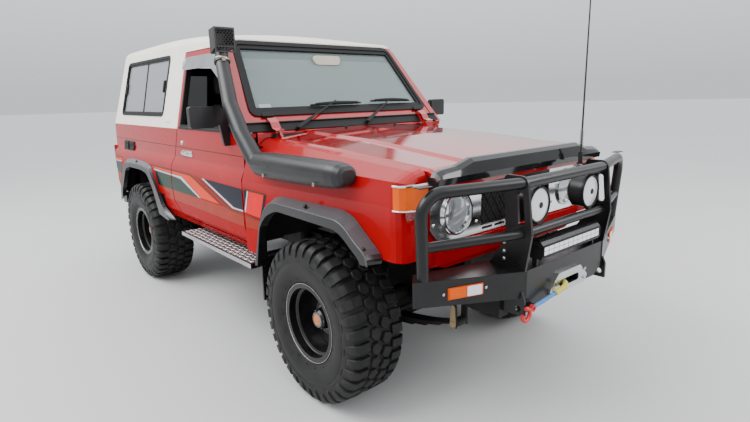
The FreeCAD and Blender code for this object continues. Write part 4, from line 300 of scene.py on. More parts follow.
def tyre_form(turn):
    """One tyre about the Y axis through the origin, mapped into place by a function."""
    form = bmesh.new()
    wall = [(0.1275, 0.2085), (0.136, 0.214), (0.1385, 0.222), (0.146, 0.236), (0.1555, 0.262),
            (0.158, 0.290), (0.1575, 0.312), (0.1555, 0.317), (0.1575, 0.322), (0.155, 0.345),
            (0.150, 0.368), (0.139, 0.388), (0.118, 0.399), (0.060, 0.4035)]
    profile = [(-y, r) for y, r in wall] + [(y, r) for y, r in reversed(wall)]
    lathe(form, profile, Vector((0, 0, 0)), (0, 1, 0), steps=108)
    step = 2 * math.pi / PITCHES
    under = [(0.068, 0.398), (0.120, 0.394), (0.138, 0.382), (0.147, 0.367), (0.150, 0.350), (0.152, 0.338)]
    widths = [0.30, 0.315, 0.33, 0.32, 0.27, 0.20]
    skew = [0.10, 0.03, 0.0, -0.02, -0.03, -0.04]
    shape = [(-0.028, -0.06), (-0.014, -0.36), (0.012, -0.40), (0.028, -0.10), (0.022, 0.24), (-0.008, 0.40)]

    def spot(y, radius, angle):
        return Vector((radius * math.cos(angle), y, radius * math.sin(angle)))

    for k in range(PITCHES):
        for side in (-1, 1):
            mid = (k + (0.5 if side > 0 else 0.0)) * step
            long_one = k % 2 == 0
            foot = [(0.1565, 0.338), (0.1590, 0.352)] if long_one else [(0.1545, 0.356), (0.1575, 0.366)]
            outer = [(0.068, 0.4185), (0.122, 0.4165), (0.1445, 0.4025), (0.1545, 0.384)] + foot[::-1]
            rings = []
            for sense in (-1, 1):
                rings.append([spot(side * y, r, mid + (w * sense + s) * step)
                              for (y, r), w, s in zip(outer, widths, skew)]
                             + [spot(side * y, r, mid + (w * 1.08 * sense + s) * step)
                                for (y, r), w, s in reversed(list(zip(under, widths, skew)))])
            block(form, rings[0], rings[1], bevel=0.0022)
        for row in (-1, 1):
            mid = (k + (0.25 if row > 0 else 0.75)) * step
            y = row * 0.031
            top = [spot(y + u * row, 0.4188, mid + v * step) for u, v in shape]
            low = [spot(y + 1.1 * u * row, 0.401, mid + 1.1 * v * step) for u, v in shape]
            block(form, low, top, bevel=0.0016)
        angle = (k + 0.5) * step
        if k % 2:
            dash = [(0.327, -0.30), (0.327, 0.30), (0.3315, 0.30), (0.3315, -0.30)]
            wall_y, face_y = 0.1525, 0.1588
        else:
            dash = [(0.227, -0.06), (0.227, 0.06), (0.236, 0.06), (0.236, -0.06)]
            wall_y, face_y = 0.139, 0.1455
        for side in (-1, 1):
            low = [spot(side * wall_y, r, angle + a * step) for r, a in dash]
            high = [spot(side * face_y, r, angle + a * step) for r, a in dash]
            block(form, low, high)
    form.transform(turn)
    return form


def rubber_finish(name):
    """Black rubber: dark and a little glossy on the walls, greyer and duller where the tread is worn."""
    material, shader = blank(name, ior=1.3)
    place = node(material, "TexCoord").outputs["Object"]
    worn = noise(material, place, 16.0, 8.0, 0.65)
    share = spread(material, worn, 0.42, 0.75, 0.0, 1.0)
    link(material, blend_tones(material, share, (0.0095, 0.0095, 0.0098, 1), (0.024, 0.0235, 0.0225, 1)),
         shader, "Base Color")
    link(material, spread(material, worn, 0.3, 0.7, 0.40, 0.62), shader, "Roughness")
    emboss(material, shader, noise(material, place, 420.0, 4.0), 0.25, 0.0006)
    return material


rubber = rubber_finish("tyre_rubber")
wheel_places = {"front_right": (0.0, -WHEEL_Y), "front_left": (0.0, WHEEL_Y),
                "rear_right": (REAR_AXLE, -WHEEL_Y), "rear_left": (REAR_AXLE, WHEEL_Y)}
for corner, (x, y) in wheel_places.items():
    form = tyre_form(Matrix.Translation(at(x, y, TYRE_RADIUS)))
    tyre = make("tyre_tread_" + corner, form, rubber, "wheel_" + corner, "tyre_rubber")
    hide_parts("tyre_" + corner)
SPARE_Y, SPARE_Z = -0.262, 1.108
spare_turn = Matrix.Translation(at(-3.485, SPARE_Y, SPARE_Z)) @ Matrix.Rotation(math.pi / 2, 4, "Z")
spare = make("tyre_tread_spare", tyre_form(spare_turn), rubber, "rear_door_right", "tyre_rubber")
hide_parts("spare_tyre")

# The rims: deep pressed steel wheels in gloss black; a silver band on the lip and a grey ring on the raised
# well bead are painted highlights on the black enamel; a locking hub with a brown dial and steel nuts.
def turned(name, profile, centre, axis, steps, material, body="vehicle", slot=None):
    """A piece of one profile turned round an axis."""
    form = bmesh.new()
    lathe(form, profile, centre, axis, steps)
    return make(name, form, material, body, slot)


def hexagon(radius):
    """The six corners of a nut or bolt head about its middle."""
    angles = [math.radians(60 * j) for j in range(6)]
    return [(radius * math.cos(angle), radius * math.sin(angle)) for angle in angles]


def panel(x0, x1, z0, z1):
    """The four corners of a rectangle."""
    return [(x0, z0), (x1, z0), (x1, z1), (x0, z1)]


rim_black = finish("rim_enamel_black", (0.003, 0.003, 0.0035), (0.008, 0.008, 0.008), (0.12, 0.26),
                   grain=0.05, dust=0.08, ior=1.4)
paint(rim_black, "rim_front_right", "rim_front_left", "rim_rear_right", "rim_rear_left", "spare_rim")
# Bright steel for bolts, screws and the step edge; on the rims the same silver is a painted highlight along
# the black lip.
lip_highlight_and_bright_steel = finish("rim_lip_bright", (0.50, 0.50, 0.51), (0.36, 0.36, 0.37), (0.18, 0.34), metal=1.0)
# The well bead is the rim's own black enamel, coloured grey as a painted highlight on the raised bead.
bead_highlight_grey = finish("rim_well_grey", (0.030, 0.030, 0.031), (0.050, 0.050, 0.050), (0.2, 0.35), metal=0.3)
hub_steel = finish("hub_steel", (0.16, 0.16, 0.165), (0.26, 0.25, 0.24), (0.25, 0.45), metal=1.0, grain=0.2)
NUT_RADIUS = 0.0125
NUT_CIRCLE = 0.070
dial_brown = finish("dial_brown", (0.42, 0.13, 0.035), (0.52, 0.20, 0.07), (0.3, 0.5), grain=0.2)
for corner, (x, y) in wheel_places.items():
    out = 1 if y > 0 else -1
    wheel = "wheel_" + corner
    centre = at(x, y, TYRE_RADIUS)
    axis = (0, out, 0)
    # A silver band on the black lip: a painted highlight where the lip catches the light.
    turned("rim_lip_" + corner, [(0.1335, 0.2066), (0.1350, 0.2073), (0.1350, 0.2050), (0.1332, 0.2044)],
           centre, axis, 96, lip_highlight_and_bright_steel, wheel, "bright")
    # A grey ring on the well bead: a painted highlight on the black enamel.
    turned("rim_well_" + corner, [(0.0905, 0.1790), (0.0925, 0.1770), (0.0905, 0.1750), (0.0880, 0.1775)],
           centre, axis, 96, bead_highlight_grey, wheel, "rim_black")
    form = bmesh.new()
    lathe(form, [(0.0765, 0.040), (0.0795, 0.0405), (0.0810, 0.038), (0.0810, 0.031), (0.0790, 0.030),
                 (0.0765, 0.030)], centre, axis, 36)
    lathe(form, [(-0.003, 0.112), (0.002, 0.112), (0.002, 0.100), (-0.003, 0.100)], centre, axis, 48)
    hex_ring = hexagon(NUT_RADIUS)
    for k in range(6):
        angle = math.radians(60 * k)
        place = centre + Vector((NUT_CIRCLE * math.sin(angle), 0, NUT_CIRCLE * math.cos(angle)))
        block(form, [place + Vector((u, out * 0.001, v)) for u, v in hex_ring],
              [place + Vector((u, out * 0.0205, v)) for u, v in hex_ring], bevel=0.0015)
        bolt = centre + Vector((0.045 * math.sin(angle + 0.5), 0, 0.045 * math.cos(angle + 0.5)))
        block(form, [bolt + Vector((u * 0.42, out * 0.064, v * 0.42)) for u, v in hex_ring],
              [bolt + Vector((u * 0.42, out * 0.071, v * 0.42)) for u, v in hex_ring], bevel=0.0008)
    make("hub_nuts_" + corner, form, hub_steel, wheel, "bare_steel")
    form = bmesh.new()
    lathe(form, [(0.0775, 0.0295), (0.0800, 0.0290), (0.0800, POLE)], centre, axis, 36)
    block(form, [centre + Vector((u, out * 0.080, v)) for u, v in panel(-0.022, 0.022, -0.005, 0.005)],
          [centre + Vector((u, out * 0.0845, v)) for u, v in panel(-0.020, 0.020, -0.003, 0.003)],
          bevel=0.001)
    make("hub_dial_" + corner, form, dial_brown, wheel)

# The body: pressed steel panels in deep red enamel under clear gloss, black
# underseal inside the wheel arches and grey trim on the cabin side.
def calc(material, operation, *values):
    """One sum on sockets and numbers."""
    return node(material, "Math", dict(enumerate(values)), operation=operation).outputs[0]


BODY_HALF = 0.852
TAPER_FROM, TAPER = 0.659, 0.0508
SILL_Z, SHOULDER_Z, WAIST_Z, BELT_Z = 0.80, 1.075, 1.135, 1.335


def hidden_sides(material, place, colour, gloss):
    """Underseal where the panel faces the wheel, and dark trim where it faces the cabin."""
    def do(operation, *values):
        return calc(material, operation, *values)

    axes = node(material, "SeparateXYZ", {0: place})
    along = do("SUBTRACT", axes.outputs["X"], FRONT_AXLE)
    across = do("ABSOLUTE", axes.outputs["Y"])
    height = axes.outputs["Z"]
    taper = do("MULTIPLY", do("MAXIMUM", do("ADD", along, TAPER_FROM), 0.0), TAPER)
    skin = do("SUBTRACT", BODY_HALF, taper)
    for low, high, fall in ((SHOULDER_Z, WAIST_Z, 0.026), (WAIST_Z, BELT_Z, 0.006), (BELT_Z, 1.865, 0.118)):
        skin = do("SUBTRACT", skin, spread(material, height, low, high, 0.0, fall))
    skin = do("SUBTRACT", skin, spread(material, height, SILL_Z, 0.64, 0.0, 0.058))
    depth = do("SUBTRACT", skin, across)
    wheel = do("MINIMUM", do("MAXIMUM", do("MULTIPLY", along, 1.064), do("MULTIPLY", along, -1.0)),
                 do("MULTIPLY", do("ABSOLUTE", do("SUBTRACT", along, REAR_AXLE)), 0.88))
    arch = do("MULTIPLY", do("LESS_THAN", wheel, 0.580), do("LESS_THAN", height, 1.032))
    arch = do("MULTIPLY", arch, do("GREATER_THAN", depth, 0.008))
    cut_edge = do("MULTIPLY", do("LESS_THAN", wheel, 0.508), do("LESS_THAN", height, 0.82))
    arch = do("MAXIMUM", arch, cut_edge)
    cabin = do("MULTIPLY", do("LESS_THAN", along, -0.70), do("GREATER_THAN", along, -3.268))
    cabin = do("MULTIPLY", cabin, do("GREATER_THAN", depth, 0.027))
    cabin = do("MULTIPLY", cabin, do("GREATER_THAN", height, 0.69))
    colour = blend_tones(material, cabin, colour, (0.030, 0.030, 0.031, 1))
    colour = blend_tones(material, arch, colour, (0.008, 0.008, 0.008, 1))
    hidden = do("MAXIMUM", arch, cabin)
    gloss = do("ADD", gloss, do("MULTIPLY", hidden, 0.4))
    shader = material.node_tree.nodes["Principled BSDF"]
    clean = do("SUBTRACT", 1.0, hidden)
    link(material, do("MULTIPLY", clean, spread(material, height, 0.98, 1.12, 0.06, 0.45)), shader,
         "Coat Weight")
    link(material, do("MULTIPLY", clean, spread(material, height, 0.98, 1.12, 0.10, 0.60)), shader,
         "Specular IOR Level")
    return colour, gloss


body_red = finish("body_enamel_red", (0.29, 0.0010, 0.0030), (0.33, 0.0018, 0.0045), (0.20, 0.30), patch=2.5,
                  coat=0.3, dust=0.06, ior=1.2, recolour=hidden_sides)
paint(body_red, "body_sides", "front_panels", "door_right", "door_left", "rear_door_right", "rear_door_left")
bonnet_red = finish("bonnet_enamel_red", (0.31, 0.0010, 0.0030), (0.35, 0.0018, 0.0045), (0.10, 0.18),
                    patch=2.0, coat=1.0, ior=1.4)
paint(bonnet_red, "bonnet", "windscreen_frame")
paint(finish("floor_underseal", (0.012, 0.012, 0.012), (0.022, 0.021, 0.020), (0.6, 0.85), grain=0.5),
      "floor")


# The side stripes: printed vinyl in green, orange, red and navy with pale
# outlines, stuck on the doors, quarters and guards of both sides.
def side_skin(x, z):
    """Half width of the painted side at a place."""
    half = BODY_HALF - TAPER * max(x + TAPER_FROM, 0.0)
    half -= 0.175 * max(SILL_Z - z, 0.0)
    if z > SHOULDER_Z:
        half -= min(z - SHOULDER_Z, 0.06) * 0.433 + min(max(z - WAIST_Z, 0.0), 0.2) * 0.03
    return half + 0.2226 * min(BELT_Z - z, 0.0)


SHUT_X, SHUT_BEND_Z = -1.828, 0.91


def shut_line(z):
    """The rear edge of the door at a height, which bends at the waist."""
    if z < SHUT_BEND_Z:
        return SHUT_X + 0.236 * (SHUT_BEND_Z - z)
    return SHUT_X + 0.183 * (z - SHUT_BEND_Z)


def decal(name, shapes, material, level, body, side):
    """Flat shapes laid on the painted side at a height above it, facing out."""
    form = bmesh.new()
    for shape in shapes:
        form.faces.new([form.verts.new(at(x, side * (side_skin(x, z) + level), z)) for x, z in shape])
    piece = make(name, form, material, body)
    for face in piece.data.polygons:
        if face.normal.y * side < 0:
            face.flip()
    return piece


def vinyl(name, tone, second):
    """A thin printed film with a soft gloss."""
    return finish(name, tone, second, (0.18, 0.30), patch=9.0, coat=0.12, dust=0.03, ior=1.15)


green = vinyl("vinyl_green", (0.010, 0.030, 0.018), (0.014, 0.038, 0.024))
navy = vinyl("vinyl_navy", (0.0025, 0.004, 0.012), (0.004, 0.006, 0.017))
pale = vinyl("vinyl_pale_blue", (0.28, 0.48, 0.56), (0.38, 0.56, 0.64))
orange = vinyl("vinyl_orange", (0.58, 0.030, 0.0015), (0.64, 0.038, 0.002))
bright_red = vinyl("vinyl_bright_red", (0.60, 0.003, 0.006), (0.66, 0.005, 0.009))
rust_band = vinyl("vinyl_rust_orange", (0.24, 0.014, 0.003), (0.28, 0.018, 0.004))
dark_line = vinyl("vinyl_dark_line", (0.060, 0.026, 0.008), (0.080, 0.034, 0.010))
front, rear = -0.673, -3.296


def before(*rows):
    """Points along the door's rear edge at the heights, on the door."""
    return [(shut_line(z) + 0.003, z) for z in rows]


def behind(*rows):
    """The same on the quarter panel."""
    return [(shut_line(z) - 0.011, z) for z in rows]


door_stripes = [
    (rust_band, 0.0006, [before(0.880, 0.845, 0.806) + [(front, 0.798), (front, 0.878)]]),
    (green, 0.0009, [before(0.983, 0.93, 0.879) + [(-1.335, 0.883), (-1.651, 0.979)]]),
    (orange, 0.0009, [before(1.022, 1.004)
                      + [(-1.611, 0.998), (-1.293, 0.886), (-1.002, 0.886), (-1.443, 1.020)]]),
    (pale, 0.0012, [before(0.999, 0.988)
                    + [(-1.644, 0.981), (-1.329, 0.884), (-1.299, 0.885), (-1.615, 0.998)],
                    [(-1.248, 1.024), (-0.814, 0.887), (front, 0.888),
                     (front, 0.897), (-0.794, 0.896), (-1.216, 1.026)]]),
    (dark_line, 0.0012, [before(1.036, 1.027) + [(-1.431, 1.026), (-1.431, 1.034)],
                         [(-1.450, 1.027), (-0.994, 0.884), (-0.959, 0.882), (-1.409, 1.027)],
                         [(-1.366, 1.028), (-0.868, 0.869), (front, 0.866),
                          (front, 0.874), (-0.836, 0.878), (-1.318, 1.027)]]),
    (navy, 0.0012, [[(-1.216, 1.026), (-0.788, 0.898), (front, 0.898), (front, 1.022)]]),
]
quarter_stripes = [
    (rust_band, 0.0006, [[(-2.094, 0.884), (-2.032, 0.790)] + behind(0.806, 0.845, 0.880),
                         [(rear, 0.880), (rear, 0.800), (-3.190, 0.800), (-3.175, 0.880)]]),
    (green, 0.0009, [[(-2.157, 0.993), (-2.121, 0.880)] + behind(0.880, 0.93, 0.984),
                     [(rear, 0.985), (rear, 0.880), (-3.175, 0.880), (-3.125, 0.985)]]),
    (orange, 0.0009, [[(-2.261, 1.022), (-2.227, 1.008)] + behind(1.002, 1.021),
                      [(rear, 1.020), (rear, 0.998), (-3.10, 0.998), (-3.09, 1.020)]]),
    (pale, 0.0012, [[(-2.215, 1.006), (-2.194, 0.994)] + behind(0.988, 0.998),
                    [(rear, 0.996), (rear, 0.987), (-3.12, 0.987), (-3.11, 0.996)]]),
    (dark_line, 0.0012, [[(-2.271, 1.034), (-2.271, 1.027)] + behind(1.028, 1.036),
                         [(rear, 1.034), (rear, 1.026), (-3.08, 1.026), (-3.07, 1.034)]]),
    (navy, 0.0012, [[(-2.188, 0.988), (-2.144, 0.986), (-2.089, 0.886), (-2.138, 0.885)]]),
]
guard_stripes = [
    (rust_band, 0.0006, [[(-0.650, 0.878), (-0.650, 0.798), (-0.505, 0.803), (-0.492, 0.866)]]),
    (navy, 0.0009, [[(-0.650, 1.022), (-0.650, 0.891), (-0.640, 0.891), (-0.607, 1.019)],
                    [(-0.431, 1.018), (-0.491, 0.869), (-0.472, 0.867), (-0.408, 1.017)]]),
    (bright_red, 0.0009, [[(-0.592, 1.017), (-0.640, 0.887), (-0.484, 0.878), (-0.433, 1.016)]]),
    (pale, 0.0012, [[(-0.611, 1.018), (-0.650, 0.905), (-0.650, 0.889), (-0.642, 0.889), (-0.597, 1.018)]]),
    (dark_line, 0.0012, [[(-0.650, 1.031), (-0.650, 1.023), (-0.411, 1.017), (-0.411, 1.026)],
                         [(-0.650, 0.874), (-0.650, 0.866), (-0.485, 0.858), (-0.480, 0.866)]]),
]
HANDS = ((-1, "right"), (1, "left"))
for side, hand in HANDS:
    for place, stripes, body in (("door", door_stripes, "door_" + hand),
                                 ("quarter", quarter_stripes, "vehicle"),
                                 ("guard", guard_stripes, "vehicle")):
        for material, level, shapes in stripes:
            decal("_".join((material.name, place, hand)), shapes, material, level, body, side)

# Side trim: a dark pin line, chrome door handles and locks, and the black
# louvred air outlets in the quarter panels.
chrome = finish("chrome_plate", (0.84, 0.85, 0.86), (0.74, 0.75, 0.77), (0.08, 0.18), metal=1.0, patch=12.0)
trim_black = finish("trim_black", (0.005, 0.005, 0.006), (0.010, 0.010, 0.010), (0.38, 0.58), patch=11.0,
                    grain=0.12, ior=1.32)


PIN_LOW, PIN_HIGH = 1.2035, 1.2085


def side_at(side):
    """Maps (x, z, lift) to a place that far out of the painted side."""
    def place(x, z, lift):
        return at(x, side * (side_skin(x, z) + lift), z)
    return place


def slab(form, outline, low, high, place, bevel=0.0, segments=1):
    """A plate between two lifts over an outline, in the surface a function maps it to."""
    block(form, [place(u, v, low) for u, v in outline], [place(u, v, high) for u, v in outline], bevel,
          segments)


for side, hand in HANDS:
    place = side_at(side)
    line = [(rear, PIN_LOW), (-1.748, PIN_LOW), (-1.747, PIN_HIGH), (rear, PIN_HIGH)]
    decal("pin_line_quarter_" + hand, [line], dark_line, 0.0008, "vehicle", side)
    line = panel(-1.734, front, PIN_LOW, PIN_HIGH)
    decal("pin_line_door_" + hand, [line], dark_line, 0.0008, "door_" + hand, side)
    form = bmesh.new()
    slab(form, panel(-1.616, -1.436, 1.150, 1.190), -0.002, 0.007, place, 0.003, 2)
    slab(form, panel(-1.606, -1.500, 1.158, 1.183), 0.006, 0.022, place, 0.006, 2)
    slab(form, panel(-1.494, -1.448, 1.160, 1.181), 0.006, 0.013, place, 0.003, 2)
    lathe(form, [(0.0, 0.015), (0.006, 0.015), (0.009, 0.012), (0.009, POLE)], place(-1.611, 1.238, 0),
          (0, side, 0), 24)
    make("door_handle_" + hand, form, chrome, "door_" + hand, "bright")
    form = bmesh.new()
    slab(form, panel(-3.022, -2.736, 1.112, 1.192), -0.002, 0.005, place, 0.003)
    for k in range(6):
        z = 1.121 + 0.0118 * k
        block(form, [place(x, v, 0.004) for x, v in panel(-3.012, -2.746, z, z + 0.008)],
              [place(x, v, 0.013) for x, v in panel(-3.012, -2.746, z - 0.002, z + 0.001)])
    slab(form, panel(-2.884, -2.874, 1.114, 1.190), 0.003, 0.014, place)
    make("air_outlet_" + hand, form, trim_black, "vehicle", "flare_plastic")

# The hard top: a moulded fibreglass shell in warm white gel coat, bolted to
# the body, with a plain raised plate low on each side.
top_coat = finish("top_gel_coat", (0.80, 0.77, 0.69), (0.85, 0.825, 0.75), (0.28, 0.45), patch=3.0,
                  grain=0.06, grain_size=160.0, coat=0.3)
paint(top_coat, "hard_top")
for side, hand in HANDS:
    place = side_at(side)
    form = bmesh.new()
    slab(form, panel(-1.945, -1.845, 1.374, 1.408), -0.002, 0.004, place, 0.002, 2)
    slab(form, panel(-1.936, -1.854, 1.379, 1.390), 0.003, 0.006, place, 0.001)
    slab(form, panel(-1.936, -1.854, 1.393, 1.404), 0.003, 0.006, place, 0.001)
    make("top_plate_" + hand, form, top_coat, "vehicle", "top_paint")

# The windows: flat toughened panes, lightly tinted in front and dark behind,
# in black rubber, with the sliding quarter panes' bars and latches.
def pane(name, tint, base, grazing, rear_tint=None, rear_base=0.9):
    """Thin glass: clear face on, and mirror-like as it is seen along; the rear panes may be darker."""
    material, shader = blank(name, coat=0.0, coat_rough=0.02)
    place = node(material, "TexCoord").outputs["Object"]
    film = noise(material, place, 2.2, 4.0)
    link(material, spread(material, film, 0.3, 0.75, 0.004, 0.020), shader, "Roughness")
    colour = blend_tones(material, film, (*tint, 1), tuple(0.85 * c for c in tint) + (1,))
    clear = base
    if rear_tint:
        behind = calc(material, "LESS_THAN", node(material, "SeparateXYZ", {0: place}).outputs["X"],
                      FRONT_AXLE - 1.7)
        colour = blend_tones(material, behind, colour, (*rear_tint, 1))
        clear = calc(material, "MULTIPLY_ADD", behind, rear_base - base, base)
    link(material, colour, shader, "Base Color")
    glance = node(material, "LayerWeight", {"Blend": 0.3}).outputs["Fresnel"]
    span = calc(material, "SUBTRACT", grazing, clear)
    link(material, calc(material, "MULTIPLY_ADD", glance, span, clear), shader, "Alpha")
    return material


screen_glass = pane("screen_glass", (0.26, 0.33, 0.32), 0.46, 0.85, (0.22, 0.235, 0.25), 0.93)
paint(screen_glass, "body_glass")
side_glass = pane("side_glass", (0.012, 0.014, 0.016), 0.72, 0.98)
paint(side_glass, "door_glass_left", "rear_glass_right", "rear_glass_left")
seal_rubber = finish("seal_rubber", (0.004, 0.004, 0.004), (0.009, 0.009, 0.009), (0.42, 0.62), patch=13.0,
                     grain=0.15, grain_size=700.0, ior=1.32)


def rounded(corners, radius, steps=4):
    """The outline through the corners, each turned in a curve."""
    points = []
    for i, corner in enumerate(corners):
        here = Vector(corner)
        before = Vector(corners[i - 1]) - here
        after = Vector(corners[(i + 1) % len(corners)]) - here
        start = here + before * min(radius / before.length, 0.45)
        end = here + after * min(radius / after.length, 0.45)
        for k in range(steps + 1):
            t = k / steps
            points.append(tuple(start * (1 - t) ** 2 + here * 2 * t * (1 - t) + end * t ** 2))
    return points


def shrunk(corners, distance):
    """The outline with every edge moved inwards."""
    area = sum(corners[i - 1][0] * b[1] - b[0] * corners[i - 1][1] for i, b in enumerate(corners))
    turn = 1 if area > 0 else -1
    result = []
    for i, corner in enumerate(corners):
        here = Vector(corner)
        first = (here - Vector(corners[i - 1])).normalized()
        second = (Vector(corners[(i + 1) % len(corners)]) - here).normalized()
        a = Vector((-first.y, first.x)) * turn
        b = Vector((-second.y, second.x)) * turn
        result.append(tuple(here + (a + b) * (distance / (1 + a.dot(b)))))
    return result


def hoop(form, corners, width, radius, low, high, place, bevel=0.0, steps=4):
    """A flat frame of one width inside an outline, raised between two lifts."""
    outer = rounded(corners, radius, steps)
    inner = rounded(shrunk(corners, width), max(radius - width, 0.004), steps)
    rings = [[form.verts.new(place(u, v, lift)) for u, v in outline] for outline, lift in
             ((outer, low), (outer, high), (inner, high), (inner, low))]
    faces = []
    for j in range(4):
        a, b = rings[j], rings[(j + 1) % 4]
        for i in range(len(a)):
            faces.append(form.faces.new((a[i - 1], a[i], b[i], b[i - 1])))
    if bevel:
        edges = [edge for edge in edges_of(faces) if abs(edge.calc_face_angle(0.0)) > 1.0]
        bmesh.ops.bevel(form, geom=edges, offset=bevel, offset_type="OFFSET", affect="EDGES", segments=2,
                        profile=0.5, material=-1)


smoked_shield = finish("smoked_shield", (0.10, 0.10, 0.112), (0.16, 0.16, 0.175), (0.12, 0.22), coat=0.6)
quarter_window = [(-2.015, 1.421), (-1.985, 1.860), (-3.030, 1.860), (-3.085, 1.421)]
for side, hand in HANDS:
    place = side_at(side)
    form = bmesh.new()
    hoop(form, shrunk(quarter_window, -0.006), 0.020, 0.050, -0.014, 0.0055, place, 0.0025)
    hoop(form, shrunk(quarter_window, 0.014), 0.012, 0.030, -0.018, 0.001, place)
    slab(form, panel(-2.522, -2.510, 1.438, 1.848), -0.014, -0.004, place, 0.002)
    for x, z in ((-2.062, 1.640), (-3.022, 1.640)):
        slab(form, panel(x - 0.014, x + 0.014, z - 0.045, z + 0.045), -0.016, 0.006, place, 0.004, 2)
    make("quarter_rubber_" + hand, form, seal_rubber, "vehicle", "flare_plastic")
    door_window = [(-0.816, 1.349), (-1.165, 1.813), (-1.644, 1.813), (-1.644, 1.349)]
    form = bmesh.new()
    hoop(form, shrunk(door_window, -0.004), 0.020, 0.020, -0.020, 0.003, place)
    slab(form, panel(-1.650, -0.800, 1.337, 1.351), -0.002, 0.010, place, 0.003)
    make("door_window_seal_" + hand, form, seal_rubber, "door_" + hand, "flare_plastic")
    edge = [(-1.020, 1.650), (-1.150, 1.826), (-1.662, 1.826), (-1.662, 1.738), (-1.185, 1.738)]
    form = bmesh.new()
    shield = rounded(edge, 0.030, 3)
    block(form, [place(x, z, 0.002 if z > 1.80 else 0.022) for x, z in shield],
          [place(x, z, 0.007 if z > 1.80 else 0.026) for x, z in shield])
    make("weather_shield_" + hand, form, smoked_shield, "door_" + hand)

# The windscreen: a broad black gasket round the glass, with a dark sun band,
# a cream interior mirror, black wipers, cowl strip and washer nozzles.
SCREEN_X, SCREEN_Z, SCREEN_RAKE = -0.668, 1.352, 0.77
screen_normal = Vector((1, 0, SCREEN_RAKE)).normalized()


def on_screen(y, z, lift):
    """A place on the windscreen frame's raked face, that far out of it."""
    return at(SCREEN_X - SCREEN_RAKE * (z - SCREEN_Z), y, z) + screen_normal * lift


screen_corners = [(-0.712, 1.446), (0.712, 1.446), (0.638, 1.871), (-0.638, 1.871)]
form = bmesh.new()
hoop(form, shrunk(screen_corners, -0.020), 0.026, 0.056, -0.010, 0.010, on_screen, 0.004)
hoop(form, shrunk(screen_corners, 0.004), 0.026, 0.034, -0.016, 0.004, on_screen, 0.004)
make("screen_gasket", form, seal_rubber, "vehicle", "flare_plastic")
form = bmesh.new()
slab(form, [(-0.646, 1.792), (0.646, 1.792), (0.630, 1.862), (-0.630, 1.862)], -0.0138, -0.0130, on_screen)
make("sun_band", form, pane("sun_band_tint", (0.020, 0.026, 0.030), 0.86, 0.95), "vehicle", "tinted_glass")
form = bmesh.new()
slab(form, panel(-0.640, -0.560, 1.478, 1.506), -0.0132, -0.0126, on_screen)
make("screen_label", form, finish("label_paper", (0.86, 0.86, 0.88), (0.92, 0.92, 0.94), (0.5, 0.6)),
     "vehicle")
form = bmesh.new()
mirror_shape = rounded([(-0.105, 1.752), (0.105, 1.752), (0.112, 1.812), (-0.112, 1.812)], 0.022)
block(form, [at(-0.985, 0.02 + y, z) for y, z in mirror_shape],
      [at(-1.015, 0.02 + y, z) for y, z in shrunk(mirror_shape, 0.004)], 0.003)
slab(form, panel(0.008, 0.030, 1.800, 1.840), -0.024, -0.015, on_screen)
make("interior_mirror", form,
     finish("mirror_back_cream", (0.50, 0.47, 0.38), (0.58, 0.55, 0.46), (0.35, 0.5)), "vehicle")


def bar(form, points, width, deep, up):
    """A flat bar through the points, of a width across and a depth along the up direction."""
    sections = []
    for i, here in enumerate(points):
        along = (points[min(i + 1, len(points) - 1)] - points[max(i - 1, 0)]).normalized()
        across = along.cross(up).normalized() * (width[i] / 2)
        rise = up * deep
        sections.append([form.verts.new(p)
                         for p in (here - across, here + across, here + across + rise, here - across
                                   + rise)])
    for a, b in zip(sections, sections[1:]):
        for k in range(4):
            form.faces.new((a[k - 1], a[k], b[k], b[k - 1]))
    form.faces.new(sections[0][::-1])
    form.faces.new(sections[-1])


wiper_places = [
    ((-0.640, -0.465, 1.356), (-0.754, -0.097, 1.505), (-0.742, -0.297, 1.490), (-0.747, 0.122, 1.495)),
    ((-0.648, 0.092, 1.368), (-0.754, 0.383, 1.504), (-0.754, 0.214, 1.505), (-0.750, 0.591, 1.500))]
form = bmesh.new()
for places in wiper_places:
    foot, head, left, right = (at(*p) + screen_normal * 0.004 for p in places)
    lathe(form, [(-0.045, 0.011), (0.006, 0.011), (0.011, 0.007), (0.011, POLE)], foot, screen_normal, 20)
    bar(form, [foot, foot.lerp(head, 0.30), foot.lerp(head, 0.36), head], [0.022, 0.020, 0.013, 0.009],
        0.007, screen_normal)
    middle = left.lerp(right, 0.5)
    bar(form, [left.lerp(right, t) + screen_normal * (0.010 * math.sin(math.pi * t) - 0.006)
               for t in (0.08, 0.3, 0.5, 0.7, 0.92)], [0.007, 0.010, 0.014, 0.010, 0.007], 0.006,
        screen_normal)
    for sunk, width, deep in ((0.013, 0.008, 0.005), (0.021, 0.003, 0.009)):
        run = [point - screen_normal * sunk for point in (left, middle, right)]
        bar(form, run, [width] * 3, deep, screen_normal)
make("wipers", form, trim_black, "vehicle", "flare_plastic")
form = bmesh.new()
slab(form, [(-0.800, 1.340), (0.800, 1.340), (0.790, 1.384), (-0.790, 1.384)], 0.0005, 0.006, on_screen,
     0.002)
slab(form, panel(-0.790, 0.790, 1.384, 1.389), 0.0005, 0.014, on_screen)
make("cowl_strip", form, seal_rubber, "vehicle", "flare_plastic")
form = bmesh.new()
for y in (-0.160, 0.260):
    lathe(form, [(-0.004, 0.010), (0.006, 0.010), (0.011, 0.007), (0.012, POLE)], at(-0.560, y, 1.341),
          (0, 0, 1), 20)
for side in (-1, 1):
    y = side * 0.628
    slab(form, [(y - 0.038, 1.417), (y + 0.038, 1.417), (y + 0.032, 1.440), (y - 0.032, 1.440)], 0.0005,
         0.020, on_screen, 0.003)
make("cowl_fittings", form, trim_black, "vehicle", "flare_plastic")
form = bmesh.new()
